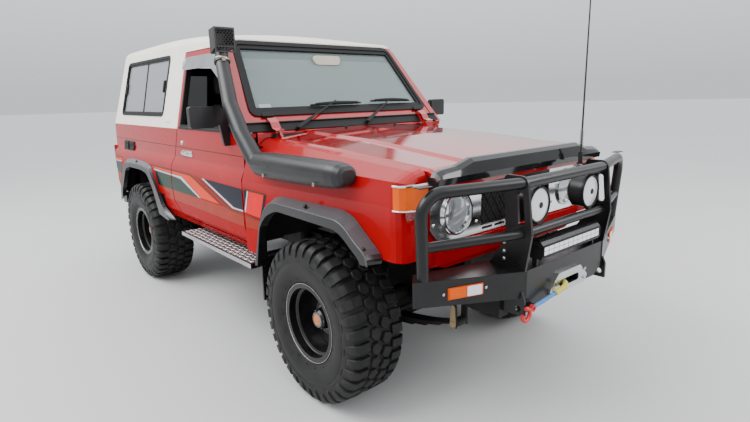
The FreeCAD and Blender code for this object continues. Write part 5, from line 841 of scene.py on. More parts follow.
for side in (-1, 1):
    run = [(-0.674, 1.415), (-0.640, 1.392), (-0.618, 1.358), (-0.575, 1.346)]
    for (xa, za), (xb, zb) in zip(run, run[1:]):
        low, high = ([at(xa, side * 0.598, za + lift), at(xa, side * 0.656, za + lift),
                      at(xb, side * 0.656, zb + lift), at(xb, side * 0.598, zb + lift)] for lift in (0, 0.004))
        block(form, low, high)
make("bonnet_hinge_plates", form, bonnet_red, "bonnet", "body_paint")

# The grille: a chrome-plated surround with round headlamps, a black diamond
# mesh behind it and a slotted bright strip below.
def grille_finish():
    """Bright plate on the face, black paint on the mesh and in the depth of the lamp openings."""
    material, shader = blank("grille_plate", metal=1.0)
    place = node(material, "TexCoord").outputs["Object"]
    axes = node(material, "SeparateXYZ", {0: place})
    across = calc(material, "ABSOLUTE", axes.outputs["Y"])
    mesh = calc(material, "MULTIPLY", calc(material, "LESS_THAN", across, 0.287),
                calc(material, "GREATER_THAN", axes.outputs["Z"], 0.931))
    deep = calc(material, "LESS_THAN", axes.outputs["X"], FRONT_AXLE + 0.602)
    black = calc(material, "MAXIMUM", mesh, deep)
    patch = noise(material, place, 12.0, 5.0)
    silver = blend_tones(material, patch, (0.80, 0.81, 0.82, 1), (0.84, 0.85, 0.86, 1))
    link(material, blend_tones(material, black, silver, (0.008, 0.008, 0.009, 1)), shader, "Base Color")
    link(material, calc(material, "SUBTRACT", 1.0, black), shader, "Metallic")
    link(material, calc(material, "ADD", calc(material, "MULTIPLY", black, 0.35),
                        spread(material, patch, 0.3, 0.7, 0.13, 0.17)), shader, "Roughness")
    return material


paint(grille_finish(), "grille")
lamp_back = finish("lamp_back_black", (0.010, 0.010, 0.011), (0.018, 0.018, 0.018), (0.3, 0.5))
reflector = finish("reflector_silver", (0.92, 0.93, 0.94), (0.86, 0.87, 0.89), (0.05, 0.12), metal=1.0,
                   patch=20.0)


def lens_finish(name, tone, second, base, grazing, fine=90.0):
    """A clear moulded lens: tinted, with upright flutes pressed in it."""
    material, shader = blank(name, coat=0.25, coat_rough=0.03, ior=1.3)
    place = node(material, "TexCoord").outputs["Object"]
    patch = noise(material, place, 18.0, 4.0)
    link(material, blend_tones(material, patch, (*tone, 1), (*second, 1)), shader, "Base Color")
    link(material, spread(material, patch, 0.3, 0.7, 0.06, 0.16), shader, "Roughness")
    glance = node(material, "LayerWeight", {"Blend": 0.3}).outputs["Fresnel"]
    link(material, spread(material, glance, 0.0, 1.0, base, grazing), shader, "Alpha")
    flutes = node(material, "TexWave", {"Vector": place, "Scale": fine, "Distortion": 0.0},
                  bands_direction="Y")
    emboss(material, shader, flutes.outputs["Fac"], 0.35, 0.0012)
    return material


GRILLE_X = 0.612
FACETS = 20
clear_lens = lens_finish("clear_lens", (0.74, 0.76, 0.78), (0.80, 0.82, 0.84), 0.08, 0.60)
paint(reflector, "headlamps")
for side, hand in HANDS:
    centre = at(GRILLE_X, side * 0.457, 1.018)
    turned("headlamp_ring_" + hand,
           [(-0.004, 0.0985), (0.008, 0.0990), (0.012, 0.0960), (0.011, 0.0890), (0.003, 0.0868)],
           centre, (1, 0, 0), 64, chrome, slot="bright")
    turned("headlamp_lens_" + hand, [(0.002, 0.0875), (0.009, 0.0700), (0.0135, 0.0400), (0.0150, POLE)],
           centre, (1, 0, 0), 64, clear_lens, slot="clear_lens")
    form = bmesh.new()
    rows = [(0.0012, 0.086), (-0.0030, 0.066), (0.0008, 0.048), (-0.0025, 0.030)]
    grid = []
    for along, radius in rows:
        ring = []
        for k in range(FACETS):
            turn = 2 * math.pi * k / FACETS
            spot = Vector((along + 0.0025 * (k % 2), radius * math.cos(turn), radius * math.sin(turn)))
            ring.append(form.verts.new(centre + spot))
        grid.append(ring)
    for a, b in zip(grid, grid[1:]):
        for k in range(FACETS):
            form.faces.new((a[k - 1], a[k], b[k], b[k - 1]))
    make("headlamp_facets_" + hand, form, reflector, "vehicle", smooth=4.0)
    turned("headlamp_bulb_cap_" + hand, [(-0.002, 0.030), (0.004, 0.029), (0.007, 0.020), (0.0075, POLE)],
           centre, (1, 0, 0), 32, chrome, slot="bright")
    form = bmesh.new()
    for y, z in ((0.607, 0.985), (0.607, 1.105), (0.318, 0.955), (0.318, 1.100)):
        lathe(form, [(-0.001, 0.008), (0.003, 0.0075), (0.005, 0.005), (0.005, POLE)],
              at(GRILLE_X, side * y, z), (1, 0, 0), 16)
    make("surround_screws_" + hand, form, chrome, "vehicle", "bright")


def front_place(x):
    """Maps (y, z, lift) to a place on a plane that faces forward."""
    def place(y, z, lift):
        return at(x + lift, y, z)
    return place


# The mesh seen through the grille: a second, finer diamond net of black
# expanded steel between the cast bars.
NET_PITCH, NET_HALF = 0.026, 0.284
NET_LOW, NET_MIDDLE, NET_HIGH = 0.934, 1.0265, 1.119
form = bmesh.new()
for k in range(-34, 35):
    for lean in (-1, 1):
        first, second = ((k * NET_PITCH + lean * (z - NET_MIDDLE) * 0.74, z) for z in (NET_LOW, NET_HIGH))
        clip = []
        for (y, z), (oy, oz) in ((first, second), (second, first)):
            if abs(y) > NET_HALF:
                edge = math.copysign(NET_HALF, y)
                if (edge - y) * (oy - y) <= 0:
                    break
                share = (edge - y) / (oy - y)
                if share > 1:
                    break
                y, z = edge, z + (oz - z) * share
            clip.append((y, z))
        if len(clip) == 2:
            a, b = at(0.589 + 0.001 * lean, *clip[0]), at(0.589 + 0.001 * lean, *clip[1])
            if (b - a).length > 0.01:
                bar(form, [a, b], [0.0032, 0.0032], 0.002, Vector((1, 0, 0)))
make("grille_net", form, lamp_back, "vehicle", "lamp_black")

# The corner lamps: orange moulded lenses with bright trim above and pale
# lower edges; the bumper's lamps are orange outside and clear inside.
WING_FORWARD, WING_OUT = 0.946, 0.324


def wing_face(y):
    """How far forward the bumper's swept end lies, at a distance from the middle."""
    return 0.898 - (y - 0.345) * 0.342


def wing_at(side):
    """Maps (y, z, lift) to a place that far out of the bumper's swept end."""
    def place(y, z, lift):
        return at(wing_face(y) + lift * WING_FORWARD, side * (y + lift * WING_OUT), z)
    return place


amber = lens_finish("amber_lens", (0.60, 0.072, 0.0), (0.74, 0.105, 0.0), 0.98, 1.0, 60.0)
paint(amber, "indicator_lamps")
amber.node_tree.nodes["Principled BSDF"].inputs["IOR"].default_value = 1.15
for side, hand in HANDS:
    rim = [(0.6005, 0.648), (0.6005, 0.727), (0.597, 0.751), (0.586, 0.771), (0.566, 0.788),
           (0.562, 0.800), (0.593, 0.793), (0.615, 0.772), (0.6245, 0.742), (0.6245, 0.648)]
    form = bmesh.new()
    for low, high in ((1.1705, 1.1790), (1.0700, 1.0755)):
        block(form, [at(x, side * y, low) for x, y in rim], [at(x, side * y, high) for x, y in rim], 0.001)
    make("corner_lamp_trim_" + hand, form, chrome, "vehicle", "bright")
    wedge = [(0.6030, 0.655), (0.6030, 0.725), (0.596, 0.750), (0.606, 0.764), (0.618, 0.738), (0.618, 0.655)]
    form = bmesh.new()
    block(form, [at(x - (0.012 if y > 0.70 else 0.008), side * (y - 0.012), 1.030) for x, y in wedge],
          [at(x, side * y, 1.0700) for x, y in wedge], 0.002)
    make("corner_lamp_wedge_" + hand, form, clear_lens, "vehicle", "clear_lens")
    form = bmesh.new()
    for y in (0.530, 0.718):
        lathe(form, [(0.0, 0.0062), (0.003, 0.0060), (0.005, 0.004), (0.005, POLE)],
              at(wing_face(y), side * y, 0.750), (WING_FORWARD, side * WING_OUT, 0), 16)
    make("bumper_lamp_screws_" + hand, form, lip_highlight_and_bright_steel, "vehicle", "bare_steel")
    on_wing = wing_at(side)
    form = bmesh.new()
    slab(form, rounded(panel(0.552, 0.618, 0.729, 0.771), 0.004, 2), 0.0062, 0.0100, on_wing, 0.0012)
    bumper_clear = finish("clear_bumper_lens_" + hand, (0.62, 0.63, 0.64), (0.74, 0.75, 0.75), (0.08, 0.2),
                          coat=0.6)
    make("bumper_clear_lens_" + hand, form, bumper_clear, "vehicle", "clear_lens")
    form = bmesh.new()
    slab(form, rounded(panel(0.622, 0.696, 0.729, 0.771), 0.004, 2), 0.0062, 0.0100, on_wing, 0.0012)
    make("bumper_amber_lens_" + hand, form, amber, "vehicle", "amber_lens")

# The bumper and bull bar: folded plate and bent tube in satin black powder
# coat, with flag tabs, the winch's alloy fairlead and small steel bolts.
bar_black = finish("bar_powder_coat", (0.0035, 0.0035, 0.004), (0.007, 0.007, 0.007), (0.26, 0.36),
                   patch=10.0, grain=0.18, grain_size=1100.0, dust=0.04, ior=1.4)
paint(bar_black, "bumper", "bull_bar", "side_steps")
fairlead_silver = finish("fairlead_alloy", (0.50, 0.50, 0.51), (0.62, 0.62, 0.63), (0.20, 0.34), metal=1.0,
                         patch=14.0, grain=0.06)
paint(fairlead_silver, "winch")
form = bmesh.new()
for side in (-1, 1):
    for z in (0.826, 0.860, 0.900):
        lathe(form, [(0.0, 0.0085), (0.005, 0.0085), (0.0065, 0.006), (0.0065, POLE)],
              at(0.795, side * 0.3525, z), (0, side, 0), 6)
    for y, z in ((0.132, 0.650), (0.132, 0.695)):
        lathe(form, [(0.0, 0.0090), (0.006, 0.0090), (0.008, 0.006), (0.008, POLE)], at(0.914, side * y, z),
              (1, 0, 0), 6)
make("bar_bolts", form, lip_highlight_and_bright_steel, "vehicle", "bare_steel", smooth=20.0)
form = bmesh.new()
tab = [(0.716, 0.758), (0.752, 0.758), (0.748, 0.826), (0.712, 0.826)]
for side in (-1, 1):
    block(form, [at(x, side * y, 1.1875) for x, y in tab], [at(x, side * y, 1.1925) for x, y in tab], 0.0015)
make("bar_flag_tabs", form, bar_black, "vehicle", "bar_black")

# The spot lamps: black steel shells with smooth pearl-white covers and a
# small dark centre; below them a bar of bright lamp cells with cooling fins.
paint(finish("lamp_shell_black", (0.010, 0.010, 0.011), (0.018, 0.018, 0.018), (0.22, 0.38), grain=0.06,
             ior=1.35), "driving_lamps")
pearl = finish("spot_cover_pearl", (0.50, 0.52, 0.53), (0.64, 0.65, 0.65), (0.06, 0.16), patch=14.0, coat=1.0)
for side, hand in HANDS:
    centre = at(0.872, side * 0.222, 1.0565)
    form = bmesh.new()
    lathe(form, [(-0.006, 0.0808), (0.004, 0.0812), (0.0075, 0.0790), (0.0070, 0.0735), (0.001, 0.0725)],
          centre, (1, 0, 0), 56)
    lathe(form, [(0.009, 0.014), (0.0125, 0.013), (0.0135, POLE)], centre, (1, 0, 0), 24)
    make("spot_ring_" + hand, form, trim_black, "vehicle", "lamp_black")
    turned("spot_cover_" + hand, [(0.001, 0.0730), (0.0065, 0.055), (0.0095, 0.030), (0.0105, POLE)],
           centre, (1, 0, 0), 56, pearl, slot="clear_lens")
form = bmesh.new()
for k in range(26):
    y = -0.244 + 0.488 * k / 25
    block(form, [at(x, v, 0.899) for x, v in panel(0.862, 0.906, y - 0.0012, y + 0.0012)],
          [at(x, v, 0.910) for x, v in panel(0.866, 0.900, y - 0.0012, y + 0.0012)])
hoop(form, panel(-0.250, 0.250, 0.834, 0.884), 0.006, 0.004, 0.0, 0.004, front_place(0.920))
make("light_bar_fins", form, trim_black, "vehicle", "lamp_black")
form = bmesh.new()
for k in range(12):
    y = -0.2255 + 0.041 * k
    for z in (0.8475, 0.8705):
        cell = panel(y - 0.0190, y + 0.0190, z - 0.0105, z + 0.0105)
        low = [at(0.9215, u, v) for u, v in cell]
        high = [at(0.9205, y + (u - y) * 0.3, z + (v - z) * 0.3) for u, v in cell]
        block(form, low, high)
make("light_bar_cells", form, reflector, "vehicle")

# Snorkel, flares and mirrors: rotation-moulded and injected plastic with a
# fine grain, and a wire net in the snorkel's ram head.
HEAD_OUTER, HEAD_INNER, HEAD_LOW = -0.832, -0.712, 1.806
duct_plastic = finish("duct_plastic", (0.007, 0.007, 0.008), (0.013, 0.013, 0.014), (0.32, 0.44), patch=5.0,
                      grain=0.35, grain_size=850.0, ior=1.45)
paint(duct_plastic, "snorkel")
paint(finish("smoked_acrylic", (0.005, 0.005, 0.006), (0.009, 0.009, 0.010), (0.06, 0.16), coat=0.3,
             ior=1.35), "bonnet_protector")


def painted_sky_highlight(material, place, colour, gloss):
    """Painted highlight: a lighter grey where the surface faces up, standing in for the sky's light on the
    flares' shelves.
    """
    upward = node(material, "SeparateXYZ", {0: node(material, "NewGeometry").outputs["Normal"]}).outputs["Z"]
    return blend_tones(material, spread(material, upward, 0.25, 0.80, 0.0, 1.0), colour,
                       (0.075, 0.075, 0.080, 1)), gloss


# The flares carry a painted highlight: their upward faces are coloured a lighter grey in place of the sky's
# light.
flare_plastic = finish("flare_plastic", (0.005, 0.005, 0.006), (0.010, 0.010, 0.010), (0.20, 0.30),
                       patch=6.0, grain=0.08, grain_size=900.0, dust=0.05, recolour=painted_sky_highlight)
paint(flare_plastic, "wheel_flares")
paint(duct_plastic, "mirror_right", "mirror_left")
form = bmesh.new()
for k in range(-7, 14):
    for lean in (-1, 1):
        points = []
        for z in (HEAD_LOW, 1.940):
            y = HEAD_OUTER + 0.020 * k + (0.5 + 0.5 * lean) * 0.120 - lean * (z - HEAD_LOW) * 0.85
            points.append((y, z))
        (ya, za), (yb, zb) = points
        strand = [(ya + (yb - ya) * i / 24, za + (zb - za) * i / 24) for i in range(25)]
        kept = [(y, z) for y, z in strand if HEAD_OUTER < y < HEAD_INNER]
        if len(kept) > 2:
            bar(form, [at(-0.906, *kept[0]), at(-0.906, *kept[-1])], [0.0026, 0.0026], 0.002,
                Vector((1, 0, 0)))
hoop(form, panel(-0.835, -0.709, 1.803, 1.943), 0.008, 0.010, -0.0045, 0.002, front_place(-0.905), 0.0015)
make("ram_head_net", form, lamp_back, "vehicle", "duct_plastic")
form = bmesh.new()
lean_axis = Vector((-0.037, 0.032, 0.105)).normalized()
lathe(form, [(-0.006, 0.0455), (-0.006, 0.0472), (0.006, 0.0472), (0.006, 0.0455)],
      at(-0.928, -0.787, 1.757), lean_axis, 40)
block(form, [at(-0.880 + u, -0.800 + v, 1.752) for u, v in panel(-0.006, 0.010, -0.012, 0.010)],
      [at(-0.880 + u, -0.800 + v, 1.766) for u, v in panel(-0.006, 0.010, -0.012, 0.010)], 0.002)
for place in (at(-0.30, -0.907, 1.145), at(0.16, -0.907, 1.150)):
    lathe(form, [(-0.003, 0.010), (0.002, 0.0095), (0.004, 0.006), (0.004, POLE)], place, (0, -1, 0), 20)
make("snorkel_clamp", form,
     finish("clamp_steel", (0.26, 0.22, 0.15), (0.36, 0.31, 0.22), (0.25, 0.4), metal=1.0), "vehicle",
     "bright")

# The flares' edges: a rolled bead on each shelf, coloured a lighter grey than the flare as a painted highlight
# along the edge, with domed black bolts, and ribbed rubber mud flaps behind the front wheels.
front_lip = [(-0.502, 0.608), (-0.425, 0.850), (-0.362, 0.950), (-0.312, 0.990), (-0.255, 1.007),
             (0.285, 1.003), (0.340, 0.984), (0.416, 0.926), (0.484, 0.886), (0.494, 0.840)]
rear_lip = [(-1.900, 0.634), (-2.040, 0.745), (-2.134, 0.864), (-2.270, 0.996), (-2.338, 1.008),
            (-2.470, 1.014), (-2.740, 1.014), (-2.915, 0.996), (-3.000, 0.945), (-3.120, 0.755),
            (-3.160, 0.622)]


def open_rounded(points, radius, steps=4):
    """An open run through the points with its inner corners turned in curves."""
    run = [points[0]]
    for a, b, c in zip(points, points[1:], points[2:]):
        here = Vector(b)
        start = here + (Vector(a) - here) * min(radius / (Vector(a) - here).length, 0.45)
        end = here + (Vector(c) - here) * min(radius / (Vector(c) - here).length, 0.45)
        for k in range(steps + 1):
            t = k / steps
            run.append(tuple(start * (1 - t) ** 2 + here * 2 * t * (1 - t) + end * t ** 2))
    return run + [points[-1]]


# The bead is the flare's own plastic made a lighter grey: a painted highlight along the edge.
flare_bead_highlight = finish("flare_bead", (0.05, 0.05, 0.053), (0.075, 0.075, 0.078), (0.18, 0.28), patch=8.0)
for side, hand in HANDS:
    for end, lip in (("front", front_lip), ("rear", rear_lip)):
        run = open_rounded(lip, 0.032)
        bead = curve_piece("_".join(("flare_bead", end, hand)), "POLY",
                           [at(x, side * 0.8835, z) for x, z in run], 0.0042, thickness=2)
        bead.data.materials.append(flare_bead_highlight)
        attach(bead, "vehicle")
    form = bmesh.new()
    for x, z in ((0.452, 0.902), (-0.472, 0.700), (0.020, 1.026), (-2.020, 0.720), (-2.600, 1.032),
                 (-3.080, 0.830)):
        lathe(form, [(-0.006, 0.0100), (0.004, 0.0100), (0.0065, 0.0070), (0.0065, POLE)],
              at(x, side * 0.868, z), (0, side * 0.8, 0.6), 16)
    for k in range(5):
        z = 0.430 + 0.052 * k
        block(form, [at(-0.5005, side * y, v) for y, v in panel(0.625, 0.835, z, z + 0.010)],
              [at(-0.4955, side * y, v) for y, v in panel(0.627, 0.833, z + 0.002, z + 0.008)])
    make("flare_bolts_" + hand, form, trim_black, "vehicle", "flare_plastic")

# The side steps: black plate with raised diamonds pressed in it and a bright
# alloy edge along the outside; and the silvered glass of the door mirrors.
tread_grey = finish("step_tread_plate", (0.060, 0.045, 0.045), (0.085, 0.065, 0.065), (0.40, 0.55),
                    patch=12.0, grain=0.1, ior=1.25)
tread_bright = finish("step_diamonds", (0.62, 0.61, 0.60), (0.74, 0.73, 0.72), (0.25, 0.40), metal=0.2,
                      patch=12.0)
mirror_silver = finish("mirror_silver", (0.70, 0.72, 0.74), (0.62, 0.64, 0.66), (0.02, 0.06), metal=1.0)
for side, hand in HANDS:
    form = bmesh.new()
    low, high = sorted((side * 0.733, side * 0.893))
    block(form, [at(x, y, 0.6095) for x, y in panel(-1.572, -0.548, low, high)],
          [at(x, y, 0.6115) for x, y in panel(-1.570, -0.550, low, high)])
    make("step_tread_" + hand, form, tread_grey, "vehicle", "bare_steel", smooth=15.0)
    form = bmesh.new()
    for i in range(30):
        for j in range(5):
            x, y = -1.554 + 0.0340 * i, side * (0.7505 + 0.0312 * j)
            lean = 1 if (i + j) % 2 else -1
            shape = [(-0.0165, 0.0), (0.0, -0.0062), (0.0165, 0.0), (0.0, 0.0062)]
            turned = [(0.707 * (u - lean * v), 0.707 * (lean * u + v)) for u, v in shape]
            lows = [form.verts.new(at(x + u, y + v, 0.6114)) for u, v in turned]
            top = form.verts.new(at(x, y, 0.6152))
            for k in range(4):
                form.faces.new((lows[k - 1], lows[k], top))
    make("step_diamonds_" + hand, form, tread_bright, "vehicle", "bare_steel", smooth=15.0)
    form = bmesh.new()
    edge = sorted((side * 0.8985, side * 0.9015))
    rail = [(-1.586, edge[0]), (-1.586, edge[1]), (-0.534, edge[1]), (-0.534, edge[0])]
    block(form, [at(x, y, 0.583) for x, y in rail], [at(x, y, 0.609) for x, y in rail], 0.0008)
    make("step_edge_" + hand, form, lip_highlight_and_bright_steel, "vehicle", "bright")
    form = bmesh.new()
    mirror_face = rounded(panel(side * 0.920, side * 1.043, 1.384, 1.484), 0.014)
    block(form, [at(-0.8675, y, z) for y, z in mirror_face], [at(-0.8700, y, z) for y, z in mirror_face])
    make("mirror_glass_" + hand, form, mirror_silver, "door_" + hand, "bright")

# The seats: two high-backed buckets and a rear bench in dark grey cloth over
# foam. The cushions are swelled with cloth over shapes with sewn side rolls.
seat_cloth = finish("seat_cloth", (0.034, 0.034, 0.037), (0.050, 0.048, 0.047), (0.75, 0.95), grain=0.8,
                    grain_size=900.0)
seat_panel = finish("seat_panel_cloth", (0.075, 0.075, 0.082), (0.105, 0.102, 0.104), (0.8, 0.97),
                    patch=20.0, grain=0.9, grain_size=600.0)


def side_solid(form, outline, low, high):
    """A closed solid of one side outline (x, z) between two widths."""
    block(form, [at(x, low, z) for x, z in outline], [at(x, high, z) for x, z in outline], 0.014, 2)


SWELL_STEPS = 20


def stuffed(name, shapes, voxel, reach):
    """A cushion swelled by cloth over closed shapes, never moved farther than the reach."""
    form = bmesh.new()
    for outline, low, high in shapes:
        side_solid(form, outline, low, high)
    piece = make(name, form, seat_cloth, "vehicle", "seat_cloth", smooth=60.0)
    def settled():
        graph = bpy.context.evaluated_depsgraph_get()
        return bpy.data.meshes.new_from_object(piece.evaluated_get(graph))
    remesh = piece.modifiers.new("remesh", "REMESH")
    remesh.mode, remesh.voxel_size, remesh.use_smooth_shade = "VOXEL", voxel, True
    start = settled()
    piece.modifiers.clear()
    piece.data = start
    cloth = piece.modifiers.new("cloth", "CLOTH")
    cloth.settings.use_pressure = True
    cloth.settings.uniform_pressure_force = 4.0
    cloth.settings.effector_weights.gravity = 0.0
    for moment in range(1, SWELL_STEPS + 1):
        bpy.context.scene.frame_set(moment)
    swelled = settled()
    piece.modifiers.clear()
    floor_z = min(v.co.z for v in start.vertices)
    for old, new in zip(start.vertices, swelled.vertices):
        move = new.co - old.co
        if move.length > reach:
            new.co = old.co + move * (reach / move.length)
        new.co.z = max(new.co.z, floor_z)
    bpy.context.scene.frame_set(1)
    piece.data = swelled
    swelled.materials.clear()
    swelled.materials.append(seat_cloth)
    finer = piece.modifiers.new("finer", "SUBSURF")
    finer.levels = finer.render_levels = 1
    smooth = settled()
    piece.modifiers.clear()
    piece.data = smooth
    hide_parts("seats")
    return piece


def twin(piece, name, shift):
    """The same cushion again, moved across the cabin in its mesh."""
    mesh = piece.data.copy()
    mesh.transform(Matrix.Translation((0, shift, 0)))
    other = bpy.data.objects.new(name, mesh)
    bpy.context.scene.collection.objects.link(other)
    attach(other, "vehicle")
    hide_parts("seats")


seat_x, seat_y = -1.480, -0.370
seat_shift = 0.740
CABIN_FLOOR_Z = 0.632


def seat_side(points, low, high):
    """A side outline and two widths, given from the driver's seat."""
    return [(seat_x + x, z) for x, z in points], seat_y + low, seat_y + high


cushion_roll = [(-0.205, 0.972), (0.245, 0.972), (0.235, 1.066), (-0.200, 1.052)]
cushion = stuffed("seat_cushion_right", [
    seat_side([(-0.215, 0.970), (0.255, 0.970), (0.262, 1.052), (-0.215, 1.030)], -0.160, 0.160),
    seat_side(cushion_roll, -0.232, -0.150),
    seat_side(cushion_roll, 0.150, 0.232)], 0.009, 0.016)
back_roll = [(-0.224, 1.055), (-0.122, 1.076), (-0.212, 1.470), (-0.300, 1.462)]
back = stuffed("seat_back_right", [
    seat_side([(-0.232, 1.050), (-0.150, 1.066), (-0.240, 1.515), (-0.312, 1.506)], -0.150, 0.150),
    seat_side(back_roll, -0.222, -0.140),
    seat_side(back_roll, 0.140, 0.222)], 0.009, 0.018)
rest = stuffed("head_restraint_right",
               [seat_side([(-0.310, 1.572), (-0.245, 1.572), (-0.250, 1.710), (-0.315, 1.706)], -0.110,
                          0.110)], 0.009, 0.014)
twin(cushion, "seat_cushion_left", seat_shift)
twin(back, "seat_back_left", seat_shift)
twin(rest, "head_restraint_left", seat_shift)
bench_halves = ((-0.485, -0.005), (0.005, 0.485))
for name, outline in (("bench_cushion", [(-2.665, 0.940), (-2.262, 0.940), (-2.252, 1.012), (-2.665, 0.998)]),
                      ("bench_back", [(-2.678, 1.010), (-2.602, 1.022), (-2.690, 1.435), (-2.758, 1.428)])):
    stuffed(name, [(outline, low, high) for low, high in bench_halves], 0.012, 0.014)
form = bmesh.new()
for y in (seat_y, -seat_y):
    block(form, [at(x, y + v, CABIN_FLOOR_Z) for x, v in panel(-1.655, -1.285, -0.180, 0.180)],
          [at(x, y + v, 0.966) for x, v in panel(-1.665, -1.275, -0.200, 0.200)], 0.010, 2)
    for v in (-0.045, 0.045):
        lathe(form, [(-0.05, 0.0055), (0.09, 0.0055)], at(-1.762, y + v, 1.510), (-0.03, 0, 1), 12)
block(form, [at(x, y, CABIN_FLOOR_Z) for x, y in panel(-2.620, -2.330, -0.460, 0.460)],
      [at(x, y, 0.944) for x, y in panel(-2.630, -2.320, -0.470, 0.470)], 0.010, 2)
make("seat_frames", form, seat_panel, "vehicle", "seat_cloth")

# The dash and doors inside: grained grey plastic with dials and vents, and
# plain door cards with a ledge for the arm, held to the door's inner side.
cabin_plastic = finish("cabin_plastic", (0.022, 0.022, 0.023), (0.034, 0.033, 0.032), (0.5, 0.7), grain=0.5,
                       grain_size=700.0)
paint(cabin_plastic, "dashboard", "steering_wheel")
form = bmesh.new()
for y, radius in ((-0.445, 0.052), (-0.315, 0.052), (-0.380, 0.024)):
    lathe(form, [(-0.002, radius + 0.006), (0.005, radius + 0.005), (0.005, radius), (0.001, radius - 0.002)],
          at(-0.9165, y, 1.305 if radius > 0.03 else 1.345), (-1, 0, 0), 32)
for y in (-0.06, 0.06, 0.62):
    for k in range(4):
        z = 1.262 + 0.011 * k
        face = -0.900 - 0.2 * (z - 1.24)
        block(form, [at(face, y + v, w) for v, w in panel(-0.045, 0.045, z, z + 0.004)],
              [at(-0.918, y + v, w) for v, w in panel(-0.045, 0.045, z + 0.001, z + 0.004)])
make("dash_fittings", form, trim_black, "vehicle", "cabin_plastic")
form = bmesh.new()
for y in (-0.445, -0.315):
    lathe(form, [(0.0, 0.050), (0.001, 0.049), (0.001, POLE)], at(-0.9175, y, 1.305), (-1, 0, 0), 32)
make("dial_faces", form, finish("dial_face", (0.05, 0.05, 0.052), (0.09, 0.09, 0.09), (0.3, 0.4)),
     "vehicle", "cabin_plastic")
for side, hand in HANDS:
    place = side_at(side)
    form = bmesh.new()
    slab(form, rounded([(-1.62, 0.78), (-1.62, 1.30), (-0.80, 1.30), (-0.80, 0.78)], 0.05), -0.0885,
         -0.0795, place, 0.002)
    slab(form, rounded([(-1.42, 1.02), (-1.42, 1.06), (-1.00, 1.06), (-1.00, 1.02)], 0.02), -0.126, -0.086,
         place, 0.004)
    make("door_card_" + hand, form, cabin_plastic, "door_" + hand, "cabin_plastic")

# The back: red moulded tail lamps with amber and clear cells, black window
# rubbers, a seal strip between the doors, handle, spare nuts and blank plate.
red_lens = lens_finish("red_lens", (0.40, 0.004, 0.004), (0.52, 0.010, 0.008), 0.98, 1.0, 80.0)
paint(red_lens, "tail_lamps")
paint(bar_black, "rear_bar")


TAIL_LAMP_X = -3.326


def rear_place(x):
    """Maps (y, z, lift) to a place that far behind an upright plane."""
    def place(y, z, lift):
        return at(x - lift, y, z)
    return place


for side, hand in HANDS:
    place = rear_place(TAIL_LAMP_X)
    for name, low, high, material, slot_name in (("tail_amber_", 1.062, 1.124, amber, "amber_lens"),
                                                 ("tail_clear_", 0.990, 1.050, clear_lens, "clear_lens")):
        form = bmesh.new()
        slab(form, panel(side * 0.764, side * 0.840, low, high), 0.0005, 0.005, place, 0.002)
        make(name + hand, form, material, "vehicle", slot_name)
    form = bmesh.new()
    hoop(form, panel(side * 0.756, side * 0.848, 0.903, 1.132), 0.005, 0.008, -0.024, 0.003, place, 0.001)
    make("tail_lamp_trim_" + hand, form, trim_black, "vehicle", "flare_plastic")


BACK_X, BACK_LEAN = -3.300, 0.2308


def rear_place_body(y, z, lift):
    """A place that far behind the rear doors, which lean forward above the belt."""
    return at(BACK_X + BACK_LEAN * max(z - BELT_Z, 0.0) - lift, y, z)


for hand, corners in (("right", [(-0.655, 1.395), (0.105, 1.395), (0.105, 1.790), (-0.580, 1.790)]),
                      ("left", [(0.245, 1.395), (0.655, 1.395), (0.580, 1.790), (0.245, 1.790)])):
    form = bmesh.new()
    hoop(form, shrunk(corners, -0.012), 0.034, 0.040, -0.022, 0.006, rear_place_body, 0.003)
    make("rear_window_rubber_" + hand, form, seal_rubber, "rear_door_" + hand, "flare_plastic")
form = bmesh.new()
slab(form, [(0.158, 0.730), (0.184, 0.730), (0.200, 1.850), (0.158, 1.850)], 0.0008, 0.006, rear_place_body,
     0.002)
make("rear_seal_strip", form, seal_rubber, "rear_door_right", "flare_plastic")
form = bmesh.new()
slab(form, rounded(panel(-0.004, 0.136, 1.235, 1.300), 0.008), 0.0005, 0.005, rear_place_body, 0.0015)
slab(form, rounded(panel(0.010, 0.092, 1.252, 1.286), 0.008), 0.004, 0.024, rear_place_body, 0.005, 2)
lathe(form, [(0.0, 0.011), (0.009, 0.011), (0.011, 0.008), (0.011, POLE)], at(-3.3045, 0.116, 1.268),
      (-1, 0, 0), 24)
make("rear_handle", form, chrome, "rear_door_right", "bright")
form = bmesh.new()
for k in range(6):
    angle = math.radians(60 * k)
    spot_at = at(-3.3265 - 0.022, SPARE_Y + NUT_CIRCLE * math.cos(angle), SPARE_Z
                 + NUT_CIRCLE * math.sin(angle))
    hex_ring = hexagon(NUT_RADIUS)
    block(form, [spot_at + Vector((-0.160, u, v)) for u, v in hex_ring],
          [spot_at + Vector((-0.184, u, v)) for u, v in hex_ring], 0.0015)
make("spare_nuts", form, hub_steel, "rear_door_right", "bare_steel")
plate_white = finish("plate_blank", (0.66, 0.66, 0.62), (0.72, 0.72, 0.69), (0.3, 0.45), grain=0.05)
form = bmesh.new()
slab(form, rounded(panel(0.330, 0.702, 0.960, 1.094), 0.010), 0.0005, 0.004, rear_place_body, 0.001)
make("number_plate_blank", form, plate_white, "rear_door_left")

